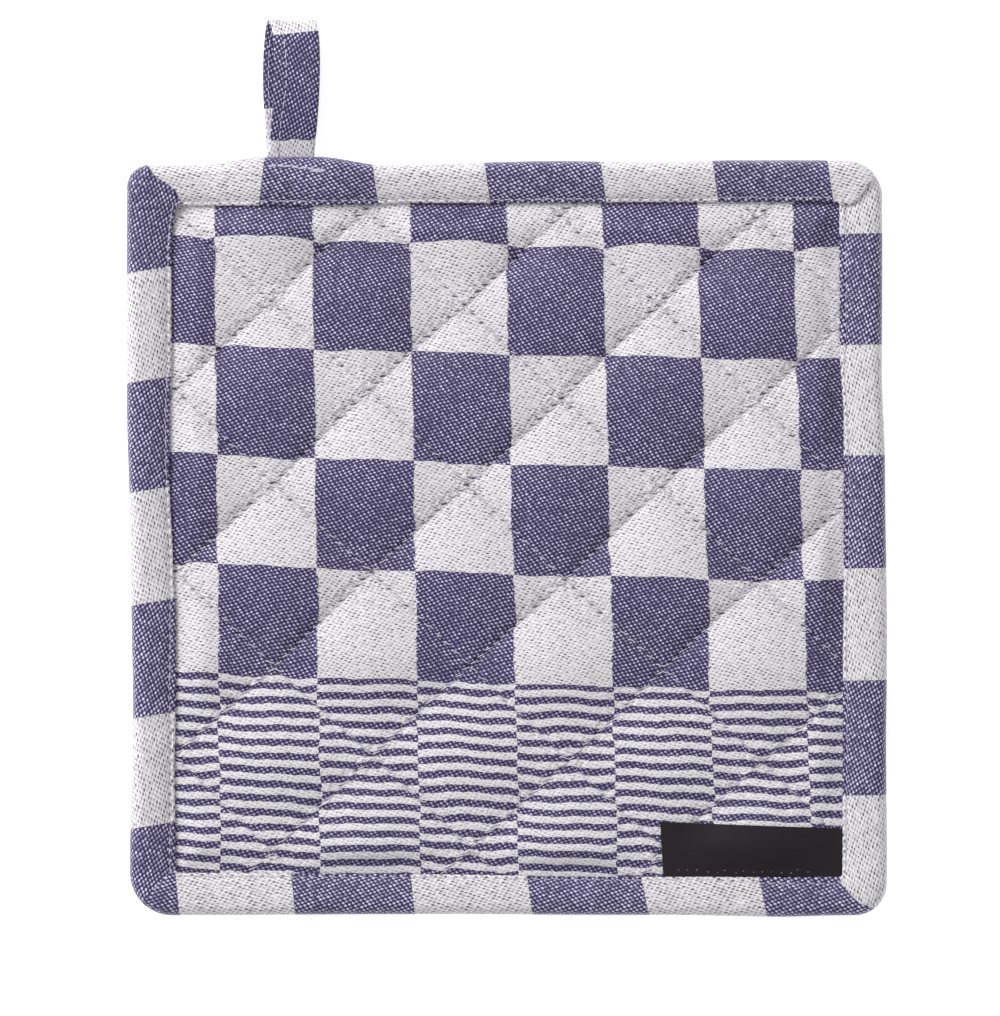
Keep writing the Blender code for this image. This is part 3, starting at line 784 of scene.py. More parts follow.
def check_with_stripes(finish, ends, picks):
    """Checks on the upper part of the face and narrow stripes below them, half a pair out of step.

    Like every pattern it says where the cloth is blue, how clear the dashes on its white are and how
    far its ribs stand up.
    """
    column = math.floor((ends + 0.9 * (finish.chance(math.floor(picks), 5.0) - 0.5)) / CHECK_ENDS)
    even_check = 1.0 - (column + math.floor(picks / CHECK_PICKS)) % 2.0
    even_column = 1.0 - column % 2.0
    ragged = 0.07 * (finish.chance(math.floor(ends), math.floor(picks * 0.2)) - 0.5)
    pairs = (picks - CHECK_PICKS * STRIPES_FROM) / STRIPE_PICKS - 0.53 * even_column + ragged
    stripe = (pairs % 1.0) < BLUE_STRIPE
    striped = picks > CHECK_PICKS * STRIPES_FROM
    rib = striped * -0.00007 * finish.maths("SINE", pairs * TURN)
    return striped * stripe + (1.0 - striped) * even_check, 1.0 - 0.5 * striped, rib


def blocks(finish, ends, picks):
    """Blocks in turn along a strip, from its own count of them."""
    count, _ = finish.map_of("blocks")
    return math.floor(count) % 2.0, 1.0, 0.0


def quilting_dimples(finish):
    """What the quilting does to the cloth: how much painted shade, how deep and how calm the weave is beside
    a seam.

    At each stitch lies a needle hole, drawn out sideways, in a dip, darkened by painted shade; between two
    holes the thread covers the weave.
    """
    rising, falling = finish.map_of("seams")
    drag = finish.noise(finish.point(rising * 9.0, falling * 9.0), 1.8) - 0.5
    flatter = finish.step(rising - falling, *STRIPED_DIAMONDS)
    dark, dimple, calm = 0.0, 0.0, 0.0
    lean_along, lean_across = math.cos(HOLE_LEAN), math.sin(HOLE_LEAN)
    for seam, across, along in ((RISING_SEAM, rising, falling), (FALLING_SEAM, falling, rising)):
        away = (across - round(across)) * DIAMOND_SIDE
        steps = along * seam.stitches
        chance = finish.chance(round(steps), round(across))
        to_hole = (steps - round(steps)) * (DIAMOND_SIDE / seam.stitches)
        slit = finish.bell((away - seam.hole_at) * lean_along - to_hole * lean_across, HOLE_WIDTH)
        drawn_out = to_hole * lean_along + away * lean_across + 0.6 * (chance - 0.5)
        slit = slit * finish.bell(drawn_out, seam.hole_length)
        # Painted shade in each needle hole
        dark = dark + slit * (0.15 + 0.85 * chance) * seam.hole_dark * (1.0 - STRIPED_HOLES * flatter)
        at_hole = 0.5 + 0.5 * finish.cosine(steps)
        notch = at_hole * finish.bell(away - 2.0 * seam.hole_at, seam.notch_width) * (0.4 + 1.2 * chance)
        dimple = dimple - seam.notch * notch * (1.0 - STRIPED_NOTCHES * flatter)
        dimple = dimple + seam.drag * drag * finish.bell(away, 5.0)
        calm = calm + seam.calm * (1.0 - at_hole) * finish.bell(away, 1.1)
    return finish.maths("MINIMUM", dark, 0.85), dimple, calm


def strip_dimples(finish):
    """The same for the stitch line of a strip."""
    along, away = finish.map_of("stitched")
    chance = finish.chance(round(along), 3.0)
    to_hole = (along - round(along)) * STRIP_STITCH
    hole = finish.bell(away, HOLE_WIDTH) * finish.bell(to_hole, 0.62)
    between = finish.bell(away, 1.8) * finish.cosine(along)
    # The first value is painted shade in the strip's needle holes
    return hole * (0.25 + 0.55 * chance), -0.00014 * hole - 0.00005 * between, 0.0


def sewing_thread(name, colour, roughness=0.75):
    """Twisted cotton thread."""
    finish = Finish(name)
    place = finish.place()
    fuzz = finish.noise(place, 2600.0)
    twist = finish.noise(place, 900.0, 1.0)
    shade = finish.dim(tuple(colour), 0.80 + 0.25 * twist + 0.12 * fuzz)
    return finish.surface(twist * 0.00008 + fuzz * 0.00003, {
        "Base Color": shade, "Roughness": roughness, "Sheen Weight": 0.2,
    })


def satin_ribbon(name, label):
    """Black woven satin with fine ribs along it."""
    finish = Finish(name)
    along, across = finish.map_of("threads")
    rib = finish.maths("COSINE", across * (TURN / (label.rib_pitch / MM)))
    slub = finish.noise(finish.point(along * 0.15, across * 3.0))
    fibre = finish.noise(finish.point(along * 1.5, across * 6.0, 3.0))
    shade = finish.dim(tuple(label.satin), 0.70 + 0.40 * slub + 0.25 * fibre)
    return finish.surface(rib * 0.000012 + fibre * 0.00002, {
        "Base Color": shade, "Roughness": 0.60 - 0.10 * slub, "Specular IOR Level": 0.22,
    })


# ---------------- stitches

def model_stitch(thickness):
    """One stitch, a metre long along X and centred: a ring of thread drawn out and bowed."""
    bpy.ops.object.select_all(action="DESELECT")
    first = STITCH_RINGS[0]
    radius = 0.5 * thickness
    bpy.ops.mesh.primitive_circle_add(
        vertices=6, radius=radius * first.girth, fill_type="NGON",
        location=(first.along, 0.0, radius * first.rise), rotation=(0.0, math.radians(90.0), 0.0),
    )
    stitch = bpy.context.view_layer.objects.active
    bpy.ops.object.transform_apply(location=True, rotation=True, scale=True)
    bpy.ops.object.mode_set(mode="EDIT")
    bpy.ops.mesh.select_all(action="SELECT")
    for before, ring in zip(STITCH_RINGS, STITCH_RINGS[1:]):
        step = (ring.along - before.along, 0.0, radius * (ring.rise - before.rise))
        bpy.ops.mesh.extrude_region_move(TRANSFORM_OT_translate={"value": step})
        growth = ring.girth / before.girth
        bpy.ops.transform.resize(
            value=(1.0, growth, growth), center_override=(ring.along, 0.0, radius * ring.rise),
        )
    bpy.ops.mesh.select_all(action="SELECT")
    bpy.ops.mesh.normals_make_consistent(inside=False)
    bpy.ops.object.mode_set(mode="OBJECT")
    bpy.ops.object.shade_smooth()
    return stitch


def sew(name, stitches, thickness, material):
    """Copy the modelled stitch to each place, every copy with its own mesh, and join them."""
    template = model_stitch(thickness)
    copies = []
    for stitch in stitches:
        start, end, up = Vector(stitch.start), Vector(stitch.end), Vector(stitch.up)
        along = end - start
        side = up.cross(along).normalized()
        above = along.cross(side).normalized()
        turn = Matrix((along, side, above)).transposed().to_4x4()
        copy = template.copy()
        copy.data = template.data.copy()
        copy.data.transform(Matrix.Translation((start + end) / 2) @ turn)
        bpy.context.scene.collection.objects.link(copy)
        copies.append(copy)
    bpy.data.objects.remove(template, do_unlink=True)
    return finish_piece(join(copies, name), material)


def stitches_between(points, raised, share, lean=0.0, uneven=0.0):
    """A stitch between each point of a row and the next, raised off the cloth by so many metres.

    share is its length as a share of that step. lean turns each stitch out of the row, in degrees,
    and uneven varies its length and its place.
    """
    placed = to_frame(points)
    random = np.random.default_rng(len(placed))
    found = []
    for start, end in zip(placed, placed[1:]):
        size, turn, aside = random.uniform(-1.0, 1.0, 3) * uneven
        across, along = heading(lean + UNEVEN_LEAN * turn)[::-1]
        step = 0.5 * share * (1.0 + UNEVEN_LENGTH * size) * (end - start)
        half = np.array((step[0] * along - step[1] * across, step[0] * across + step[1] * along, step[2]))
        aside = aside * UNEVEN_PLACE * MM
        middle = 0.5 * (start + end) + np.array((aside, -aside, raised))
        found.append(Stitch(middle - half, middle + half, (0.0, 0.0, 1.0)))
    return found


# ---------------- settings

def number(text, default, about, **settings):
    return FloatProperty(name=text, description=about, default=default, **settings)


def length(text, default, about):
    return number(text, default, about, unit="LENGTH", precision=5)


def factor(text, default, about):
    return number(text, default, about, subtype="FACTOR", min=0.0, max=1.0)


def colour(text, default, about):
    return FloatVectorProperty(
        name=text, description=about, default=default, subtype="COLOR", size=3, min=0.0, max=1.0,
    )


class ClothSettings(bpy.types.PropertyGroup):
    """The check cloth that every cloth piece is cut from."""
    # Indigo and Indigo, Lit are the warp in painted shade and in painted light: the first midway between the
    # weft's dots, the second beside a dot
    indigo: colour("Indigo", (0.010, 0.006, 0.042), "Colour of the warp midway between the weft's dots")
    indigo_lit: colour("Indigo, Lit", (0.122, 0.108, 0.212), "Colour of the warp beside a dot")
    white: colour("White", (0.71, 0.695, 0.72), "Colour of the weft")
    white_on_blue: colour("White on Blue", (0.63, 0.60, 0.82), "Colour of the weft's dots amid the indigo")
    dot_width: number("Dot Width", 0.57, "Half width of a weft dot on blue, in warp ends")
    dot_height: number("Dot Height", 0.62, "Half height of a weft dot on blue, in picks")
    dash_width: number("Dash Width", 0.80, "Half width of a warp dash on white, in warp ends")
    dash_height: number("Dash Height", 0.55, "Half height of a warp dash on white, in picks")
    # Painted shade in the gap beside each warp dash on white
    dash_shade: factor("Dash Depth", 0.62, "How dark the gap beside a dash is")
    unsteady: number("Unsteady", 0.45, "How far the bindings wander, in threads")
    weave_height: length("Weave Height", 0.00004, "Height of the threads in the weave")
    gloss: number("Gloss", 0.18, "Strength of the satin's reflections")
    sheen: factor("Sheen", 0.03, "Soft light that the fibres catch at the edges")


class QuiltSettings(bpy.types.PropertyGroup):
    """The quilted pad."""
    puff_rise: length("Puff Rise", 0.0036, "How far a diamond swells above its seams")
    shape_rising: number("Flank of the Rising Seams", 0.88, "Under 1 is steep at the seam, 1 is even")
    shape_falling: number("Flank of the Falling Seams", 0.95, "Under 1 is steep at the seam, 1 is even")
    softer_stripes: number("Softer Stripes", 0.45, "Added to both where the cloth is striped")
    channel_share: factor("Seam Channel", 0.004, "Share of half a diamond that a seam presses flat")
    crumple: length("Crumple", 0.00016, "Height of the drag lines beside the seams")
    drawn_rising: length("Drawn In, Rising", 0.0006, "How far a seam that rises to the right draws in cloth")
    drawn_falling: length("Drawn In, Falling", 0.0003, "The same for a seam that falls to the right")
    drawn_reach: length("Drawing Reach", 0.003, "How far from a seam that fades out")
    mesh_step: length("Mesh Step", 0.00105, "Distance between the points of the quilting")


class BindingSettings(bpy.types.PropertyGroup):
    """The strip folded round the edge."""
    cloth_thickness: length("Cloth Thickness", 0.00055, "Thickness of the strip's cloth")
    ripple: length("Ripple", 0.00012, "Height of the uneven ripples along the strip")
    mesh_step: length("Mesh Step", 0.0013, "Distance between the sections of the strip")


class LoopSettings(bpy.types.PropertyGroup):
    """The hanging loop."""
    layer_thickness: length("Layer Thickness", 0.00036, "Thickness of each of the tape's four layers")


class LabelSettings(bpy.types.PropertyGroup):
    """The small sewn label."""
    satin: colour("Satin", (0.012, 0.008, 0.011), "Colour of the label")
    thickness: length("Thickness", 0.0005, "Thickness of the label")
    rib_pitch: length("Rib Pitch", 0.0003, "Distance between the satin's ribs")


class StitchSettings(bpy.types.PropertyGroup):
    """Threads of all the seams."""
    white_thread: colour("White Thread", (0.56, 0.53, 0.64), "Colour of the sewing thread")
    dark_thread: colour("Label Thread", (0.22, 0.21, 0.21), "Colour of the label's thread")
    thickness: length("Thickness", 0.00027, "Thickness of the quilting thread")


class StageSettings(bpy.types.PropertyGroup):
    """Table, lights and camera."""
    key_power: number("Key Light", 36.0, "Power of the soft key light", unit="POWER")
    fill: number("Fill", 0.60, "Strength of the light from all round")
    floor: colour("Floor", (0.93, 0.93, 0.93), "Colour of the table")
    floor_glow: number("Floor Glow", 0.60, "Light that the white table gives off")
    camera_height: length("Camera Height", 3.0, "Height of the camera above the table")
    picture_height: length("Picture Height", 0.26737, "Length of table seen from top to bottom")


# ---------------- operators

class POTHOLDER_OT_quilted_pad(bpy.types.Operator):
    """Make the quilted pad of face cloth, wadding and back cloth"""
    bl_idname = "potholder.quilted_pad"
    bl_label = "Quilted Pad"

    def execute(self, context):
        quilt, cloth = context.scene.potholder_quilt, context.scene.potholder_cloth
        pad = new_piece("pad_quilting", self.quilted_mesh(quilt))
        only(pad)
        bpy.ops.object.shade_smooth()
        material = check_cloth("quilted_check_cloth", cloth, check_with_stripes, quilting_dimples)
        finish_piece(pad, material, ["quilted_pad"])
        return {"FINISHED"}

    @staticmethod
    def seam_lines(quilt):
        """Places of the grid lines across one diamond, closer together beside a seam."""
        half = list(GRID_START)
        widest = quilt.mesh_step / MM / DIAMOND_SIDE
        step = min((half[-1] - half[-2]) * GRID_GROWTH, widest)
        while half[-1] + step < 0.5:
            half.append(half[-1] + step)
            step = min(step * GRID_GROWTH, widest)
        half = np.array(half) * 0.5 / (half[-1] + 0.5 * step)
        return np.concatenate((half, 1.0 - half[:0:-1]))

    @staticmethod
    def reach(side):
        """From the middle to where the grid is cut off, the mean of the pad's own edge."""
        return sum(row[1] for row in SWAYS[side]) / len(SWAYS[side]) - PAD_INSET

    def quilted_mesh(self, quilt):
        """Diamonds of a grid cut to the pad's outline, raised on the face and pressed flat below."""
        lines = np.concatenate([cell + self.seam_lines(quilt) for cell in range(SEAMS_FROM, SEAMS_TO)])
        x, y = quilt_to_plan(*np.meshgrid(lines, lines, indexing="ij"))
        inside = np.maximum(np.abs(x), np.abs(y)) < GRID_REACH
        index = np.full(x.shape, -1)
        index[inside] = np.arange(inside.sum())
        quads = grid_quads(index)
        quads = quads[(quads >= 0).all(axis=1)]
        mesh = bpy.data.meshes.new("pad_quilting")
        plan = np.column_stack((x[inside], y[inside], np.zeros(inside.sum())))
        mesh.from_pydata(plan.tolist(), [], quads.tolist())
        shape = bmesh.new()
        shape.from_mesh(mesh)
        self.trim(shape)
        for face in shape.faces:
            face.normal_update()
            if face.normal.z < 0.0:
                face.normal_flip()
        raised = bmesh.ops.extrude_face_region(shape, geom=shape.faces[:])
        for item in raised["geom"]:
            if isinstance(item, bmesh.types.BMVert):
                item.co.z = 1.0
        bmesh.ops.recalc_face_normals(shape, faces=shape.faces)
        shape.to_mesh(mesh)
        shape.free()
        self.shape_pad(mesh, quilt)
        return mesh

    def trim(self, shape):
        """Cut the grid off at the pad's edges and round its corners."""
        outward = {side: Vector((*OUTWARD[side], 0.0)) for side in CLOCKWISE}
        for side in CLOCKWISE:
            self.cut(shape, outward[side] * self.reach(side), outward[side])
        for (one, other), radius in ROUNDS.items():
            radius += PAD_CORNER
            middle = outward[one] * (self.reach(one) - radius) + outward[other] * (self.reach(other) - radius)
            for share in CORNER_CUTS:
                along, across = heading(share)
                corner = outward[one] * float(along) + outward[other] * float(across)
                self.cut(shape, middle + corner * radius, corner)

    @staticmethod
    def cut(shape, point, outward):
        geometry = [*shape.verts, *shape.edges, *shape.faces]
        bmesh.ops.bisect_plane(
            shape, geom=geometry, dist=1e-5, plane_co=point, plane_no=outward, clear_outer=True,
        )

    def shape_pad(self, mesh, quilt):
        """Raise and sink the points, and write down which threads and seams lie at each."""
        points = np.zeros(3 * len(mesh.vertices))
        mesh.vertices.foreach_get("co", points)
        x, y, top = points.reshape(-1, 3).T.copy()
        height = np.where(top > 0.5, face_height(x, y, quilt), under_height(x, y, quilt))
        moved = np.column_stack((x, y))
        for side in CLOCKWISE:
            out = np.array(OUTWARD[side], float)
            place = x * abs(out[1]) + y * abs(out[0])
            margin, reach = lip(side, place), self.reach(side)
            share = np.clip((x * out[0] + y * out[1] - margin) / (reach - margin), 0.0, 1.0)
            moved += np.outer(share * (outer_edge(side, place) - PAD_INSET - reach), out)
        points = np.column_stack((moved, lifted(x, y, height)))
        mesh.vertices.foreach_set("co", to_frame(points).ravel())
        mesh.update()
        write_map(mesh, "threads", np.column_stack(cloth_threads(x, y, quilt)))
        write_map(mesh, "seams", np.column_stack(plan_to_quilt(x, y)))


class POTHOLDER_OT_binding(bpy.types.Operator):
    """Make the binding: a strip folded over the edge, each end lapped at a corner"""
    bl_idname = "potholder.binding"
    bl_label = "Binding"

    def execute(self, context):
        binding, cloth = context.scene.potholder_binding, context.scene.potholder_cloth
        section = smooth_through(STRIP_FOLD, 2)
        piece = join([self.strip(side, section, binding) for side in CLOCKWISE], "edge_binding")
        material = check_cloth("binding_check_cloth", cloth, blocks, strip_dimples, loose=1.15)
        finish_piece(piece, material, ["binding"])
        return {"FINISHED"}

    def strip(self, side, section, binding):
        """One side's strip, from the fold where it starts to the fold where it ends."""
        lips, outers, over = strip_plan(side, binding.mesh_step / MM)
        distance = walked(0.5 * (lips + outers))
        across = walked(section * np.array((STRIP_WIDTH, 1.0)))
        width_share, height_there = section.T
        on_top = height_there > TOP_FROM
        stitch_at = across[np.argmin(np.abs(width_share - STITCH_LINE) + (height_there < TURNED_IN_BELOW))]
        crest = np.maximum(height_there - FULL_ABOVE, 0.0) * on_top
        shift = RIPPLE_SHIFT * CLOCKWISE.index(side)
        sections = []
        for gone, inner, outer, extra in zip(distance, lips, outers, over):
            sewn_at = stitch_share(side, inner, outer)
            moved = np.interp(width_share, (0.0, STITCH_LINE, 1.0), (0.0, sewn_at, 1.0))
            share = np.where(on_top, moved, width_share)
            bow = np.interp(1.0 - share, extra.bow_at, extra.bow)
            plan = outer + np.outer(share, inner - outer) + np.outer(bow, extra.over)
            fuller = (FULLNESS[side] - 1.0) * eased(min(gone, distance[-1] - gone), 0.0, FULL_FROM)
            ripple = binding.ripple / MM * waves(RIPPLES, gone, shift) * np.interp(share, *RIPPLE_FADE)
            height = height_there + fuller * crest + np.where(on_top, extra.proud + ripple, extra.under)
            height = lifted(plan[:, 0], plan[:, 1], height)
            along, inward = self.cloth_place(side, plan, across, section)
            slanted = along - self.slant(side, along) * (inward - SLANT_MIDDLE)
            sections.append((
                np.column_stack((plan, height)), slanted, inward, self.block(side, slanted), along,
                across - stitch_at,
            ))
        return cloth_strip("strip_" + side, sections, binding.cloth_thickness)

    @staticmethod
    def cloth_place(side, plan, across, section):
        """Distance along the strip, clockwise, and in across it, on the unfolded cloth."""
        out = np.array(OUTWARD[side], float)
        clockwise = np.array((out[1], -out[0]))
        stretch = plan @ out - lip(side, plan @ np.abs(clockwise)) - STRIP_WIDTH * (1.0 - section[:, 0])
        at_edge = stretch[np.argmin(section[:, 0])]
        stretch = np.where(section[:, 1] > TOP_FROM, stretch, 2.0 * at_edge - stretch)
        from_lip = across - across[np.argmax(section[:, 0])]
        return plan @ clockwise, CLOTH_AT_LIP - (from_lip + stretch)

    @staticmethod
    def slant(side, along):
        """Lean of the blocks' ends; the loop pulls the one beside it the other way."""
        pulled = LOOP_SLANT * np.exp(-((along - LOOP_SLANT_AT) / LOOP_SLANT_REACH) ** 2)
        return along_rows(BLOCK_SLANT[side], along) + (pulled if side == "top" else 0.0)

    @staticmethod
    def block(side, along):
        """How many blocks of the check lie before a place on the strip."""
        first, edges = BLOCK_EDGES[side]
        places = np.array(edges) * (OUTWARD[side][1] - OUTWARD[side][0])
        count = np.interp(along, places, first + np.arange(len(places)))
        beyond = np.minimum(along - places[0], 0.0) + np.maximum(along - places[-1], 0.0)
        return count + beyond / BLOCK_LENGTH


def stitch_share(side, inner, outer):
    """Share of the strip's width in from the outer edge where its stitches lie."""
    place = float(inner @ np.abs(np.array(OUTWARD[side])[::-1]))
    return 1.0 - float(along_rows(STITCH_FROM_LIP[side], place)) / np.linalg.norm(outer - inner)


# What a fold adds to a section: height on top and underneath, and how far over the next strip it bows
Section = namedtuple("Section", "proud under over bow_at bow")


def strip_plan(side, step):
    """Free edge and outer edge of one strip, from the fold where it starts to where it ends."""
    at = CLOCKWISE.index(side)
    before, after = CLOCKWISE[at - 1], CLOCKWISE[(at + 1) % 4]
    start, end, normal = FOLDS[before, side], FOLDS[side, after], NORMAL_DEG[side]
    clockwise = OUTWARD[side][1] - OUTWARD[side][0]
    ends = sorted((-clockwise * lip(before, 0.0), clockwise * lip(after, 0.0)))
    turns = np.linspace(nearest(start.turn, normal), normal, FAN_ROWS)
    rows = [fan_row(before, side, turn) for turn in turns]
    for place in np.arange(ends[0] + LIP_CLEAR, ends[1] - LIP_CLEAR, step)[::int(clockwise)]:
        inner, outer = (side_point(side, place, edge(side, place)) for edge in (lip, outer_edge))
        rows.append(np.concatenate((inner, outer)))
    turns = np.linspace(normal, nearest(end.turn, normal), FAN_ROWS)
    rows += [fan_row(side, after, turn) for turn in turns]
    rows = evenly(np.array(rows), step * PLAN_STEP)
    lips, outers = rows[:, :2], rows[:, 2:]
    over_start, over_end = -clockwise_of(rows[0]), clockwise_of(rows[-1])
    bow_at, bow = np.array(end.bow).T
    run = walked(0.5 * (lips + outers))
    sections = []
    for gone in run:
        to_go = run[-1] - gone
        if to_go < gone:
            proud = end.proud * eased(to_go, FOLD_RUN, 0.0)
            sections.append(Section(proud, 0.0, over_end, bow_at, bow * eased(to_go, BOW_RUN, 0.0)))
        else:
            under = UNDER_RISE * eased(gone, BOW_RUN, 0.0)
            sections.append(Section(0.0, under, over_start, (0.0, 1.0), (0.0, 0.0)))
    lips, outers, last = list(lips), list(outers), sections[-1]
    for reach, drop in TUCKED_END:
        lips.append(rows[-1, :2] + over_end * reach)
        outers.append(rows[-1, 2:] + over_end * reach * OUTER_AT_END)
        sections.append(last._replace(proud=last.proud - drop))
    for reach in UNDER_REACHES:
        lips.insert(0, rows[0, :2] + over_start * reach)
        outers.insert(0, rows[0, 2:] + over_start * reach * OUTER_AT_START)
        sections.insert(0, sections[0]._replace(proud=-UNDER_DROP * reach))
    return np.array(lips), np.array(outers), sections


def nearest(turn, normal):
    """The same turn within half a circle of another."""
    return normal + (turn - normal + 180.0) % 360.0 - 180.0


def clockwise_of(row):
    """Unit step clockwise from a line between a free edge and an outer edge."""
    across, up = (row[2:] - row[:2]) / np.linalg.norm(row[2:] - row[:2])
    return np.array((up, -across))


def fan_row(one, other, turn):
    """Free edge and outer edge on a line fanned round the corner between two sides."""
    across, up = (one, other) if OUTWARD[one][1] == 0 else (other, one)
    sign = np.array((OUTWARD[across][0], OUTWARD[up][1]), float)
    end_across, end_up = sign * SIDE_HALF
    radius = ROUNDS[one, other]
    outward = heading(turn)
    rows = []
    for edge, rounding in ((lip, LIP_ROUND), (outer_edge, radius)):
        centre = sign * (np.array((edge(across, end_up), edge(up, end_across))) - rounding)
        rows.append(centre + outward * rounding)
    return np.concatenate(rows)


class POTHOLDER_OT_hanging_loop(bpy.types.Operator):
    """Make the hanging loop: a tape of four layers, doubled over"""
    bl_idname = "potholder.hanging_loop"
    bl_label = "Hanging Loop"

    def execute(self, context):
        settings, cloth = context.scene.potholder_loop, context.scene.potholder_cloth
        layer = settings.layer_thickness / MM
        rows = loop_rows()
        section = smooth_through(np.array(TAPE_FOLD) * np.array((1.0, layer + LAYER_AIR)), 2)
        across = walked(section)
        sections = []
        for at, (here, gone) in enumerate(zip(rows, walked(rows))):
            ahead = rows[min(at + 1, len(rows) - 1)] - rows[max(at - 1, 0)]
            ahead /= np.linalg.norm(ahead)
            side = np.array((1.0, 0.0, 0.0)) - ahead[0] * ahead
            side /= np.linalg.norm(side)
            spot = here + np.outer(section[:, 0], side) + np.outer(section[:, 1], np.cross(side, ahead))
            spot[:, 2] = np.maximum(spot[:, 2], 0.5 * layer)
            run = gone + np.interp(gone, *TAPE_SLANT) * section[:, 0]
            count = np.searchsorted(TAPE_BLOCKS_AT, run) + 0.5
            sections.append((spot, run, across, count, run, section[:, 0] - np.interp(gone, *TAPE_SEAM)))
        piece = cloth_strip("loop_tape", sections, settings.layer_thickness)
        material = check_cloth("loop_check_cloth", cloth, blocks, strip_dimples)
        finish_piece(piece, material, ["hanging_loop"])
        return {"FINISHED"}


def loop_rows():
    """Middle of the tape along its run, with its lower part resting on the table."""
    rows = smooth_through(LOOP_PATH, 8)
    rows[:, 2] = np.maximum(rows[:, 2], 0.5 * TAPE_THICKNESS)
    return evenly(rows, 0.8)


class POTHOLDER_OT_label(bpy.types.Operator):
    """Make the small label that lies on the quilting beside the binding"""
    bl_idname = "potholder.label"
    bl_label = "Label"

    def execute(self, context):
        settings, quilt = context.scene.potholder_label, context.scene.potholder_quilt
        points, threads = self.laid_rows(settings, quilt)
        piece = ribbon("sewn_label", points, {"threads": threads})
        thicken(piece, settings.thickness)
        finish_piece(piece, satin_ribbon("label_satin_ribbon", settings), ["label"])
        return {"FINISHED"}

    @staticmethod
    def laid_rows(settings, quilt):
        """Points of the label, which bridges the seams under it, and their places on its cloth."""
        right = float(lip("right", LABEL_TOP)) - LABEL_CLEAR
        bottom = -float(lip("bottom", LABEL_LEFT)) + LABEL_CLEAR_BELOW
        across, up = np.meshgrid(*(np.linspace(0.0, 1.0, count) for count in LABEL_GRID))
        x = LABEL_LEFT + LABEL_LEAN * (1.0 - up) * (1.0 - across) + (right - LABEL_LEFT) * across
        y = bottom + (LABEL_TOP - LABEL_CLEAR - LABEL_DROP * across - bottom) * up
        steps = np.linspace(-LABEL_BRIDGES, LABEL_BRIDGES, 13)
        around = [(dx, dy) for dx in steps for dy in steps if math.hypot(dx, dy) < LABEL_BRIDGES + 0.01]
        smoothed = np.mean([face_height(x + dx, y + dy, quilt) for dx, dy in around], axis=0)
        height = np.maximum(smoothed + LABEL_RAISED, face_height(x, y, quilt))
        height = height + 0.5 * settings.thickness / MM + LABEL_AIR
        return np.dstack((x, y, height)), np.dstack((x - LABEL_LEFT, y - bottom))


class POTHOLDER_OT_quilting_stitches(bpy.types.Operator):
    """Sew the stitches of the quilting along both families of seams"""
    bl_idname = "potholder.quilting_stitches"
    bl_label = "Quilting Stitches"

    def execute(self, context):
        sewing, quilt = context.scene.potholder_sewing, context.scene.potholder_quilt
        found = []
        for seam in range(SEAMS_FROM, SEAMS_TO + 1):
            for kind in (RISING_SEAM, FALLING_SEAM):
                along = np.arange(SEAMS_FROM * kind.stitches, SEAMS_TO * kind.stitches + 1) / kind.stitches
                across = np.full(along.shape, float(seam))
                x, y = quilt_to_plan(*((across, along) if kind is RISING_SEAM else (along, across)))
                points = np.column_stack((x, y, lifted(x, y, face_height(x, y, quilt))))
                within = inside_margin(x, y) > -SEWN_PAST_MARGIN
                under_label = (x > LABEL_LEFT - SEWN_PAST_LABEL) & (y < LABEL_TOP + SEWN_PAST_LABEL)
                seen = within[1:] & within[:-1] & ~under_label[:-1]
                stitches = stitches_between(points, raised=0.00003, share=0.80, lean=kind.lean, uneven=0.3)
                found += [stitch for stitch, shows in zip(stitches, seen) if shows]
        thread = sewing_thread("quilting_thread", sewing.white_thread)
        sew("quilting_stitches", found, sewing.thickness, thread)
        return {"FINISHED"}


class POTHOLDER_OT_binding_stitches(bpy.types.Operator):
    """Sew the row of stitches along the free edge of the binding and the bar tack over the loop"""
    bl_idname = "potholder.binding_stitches"
    bl_label = "Binding Stitches"

    def execute(self, context):
        sewing = context.scene.potholder_sewing
        found = []
        for side, lean in STRIP_LEAN.items():
            lips, outers, over = strip_plan(side, 1.0)
            share = np.array([stitch_share(side, inner, outer) for inner, outer in zip(lips, outers)])
            line = outers + (lips - outers) * share[:, None]
            height = STITCHED_AT + np.array([max(row.proud, 0.0) for row in over])
            line = np.column_stack((line, lifted(line[:, 0], line[:, 1], height)))
            line = line[np.abs(line[:, :2]).max(axis=1) < STRIP_SEWN_TO][SEWN_SECTIONS]
            line = evenly(line, STRIP_STITCH)
            found += stitches_between(line, raised=0.00028, share=0.80, lean=lean, uneven=0.2)
        for beside in BAR_TACK_ROWS:
            found += self.bar_tack(beside)
        thread = sewing_thread("binding_thread", sewing.white_thread)
        sew("binding_stitches", found, sewing.thickness * FINE_THREAD, thread)
        return {"FINISHED"}

    @staticmethod
    def bar_tack(beside):
        """One row of the bar tack, so far above its place."""
        x, y = np.array(BAR_TACK).T + np.array(((0.0,), (beside,)))
        outer = outer_edge("top", x)
        fold = np.array(STRIP_FOLD)[SEEN_FOLD][::-1]
        height = np.interp((outer - y) / (outer - lip("top", x)), *fold.T) + BAR_TACK_RAISED
        height = height + (FULLNESS["top"] - 1.0) * np.maximum(height - BAR_TACK_FULL_ABOVE, 0.0)
        points = np.column_stack((x, y, lifted(x, y, height)))
        return stitches_between(points, raised=0.0001, share=1.05)


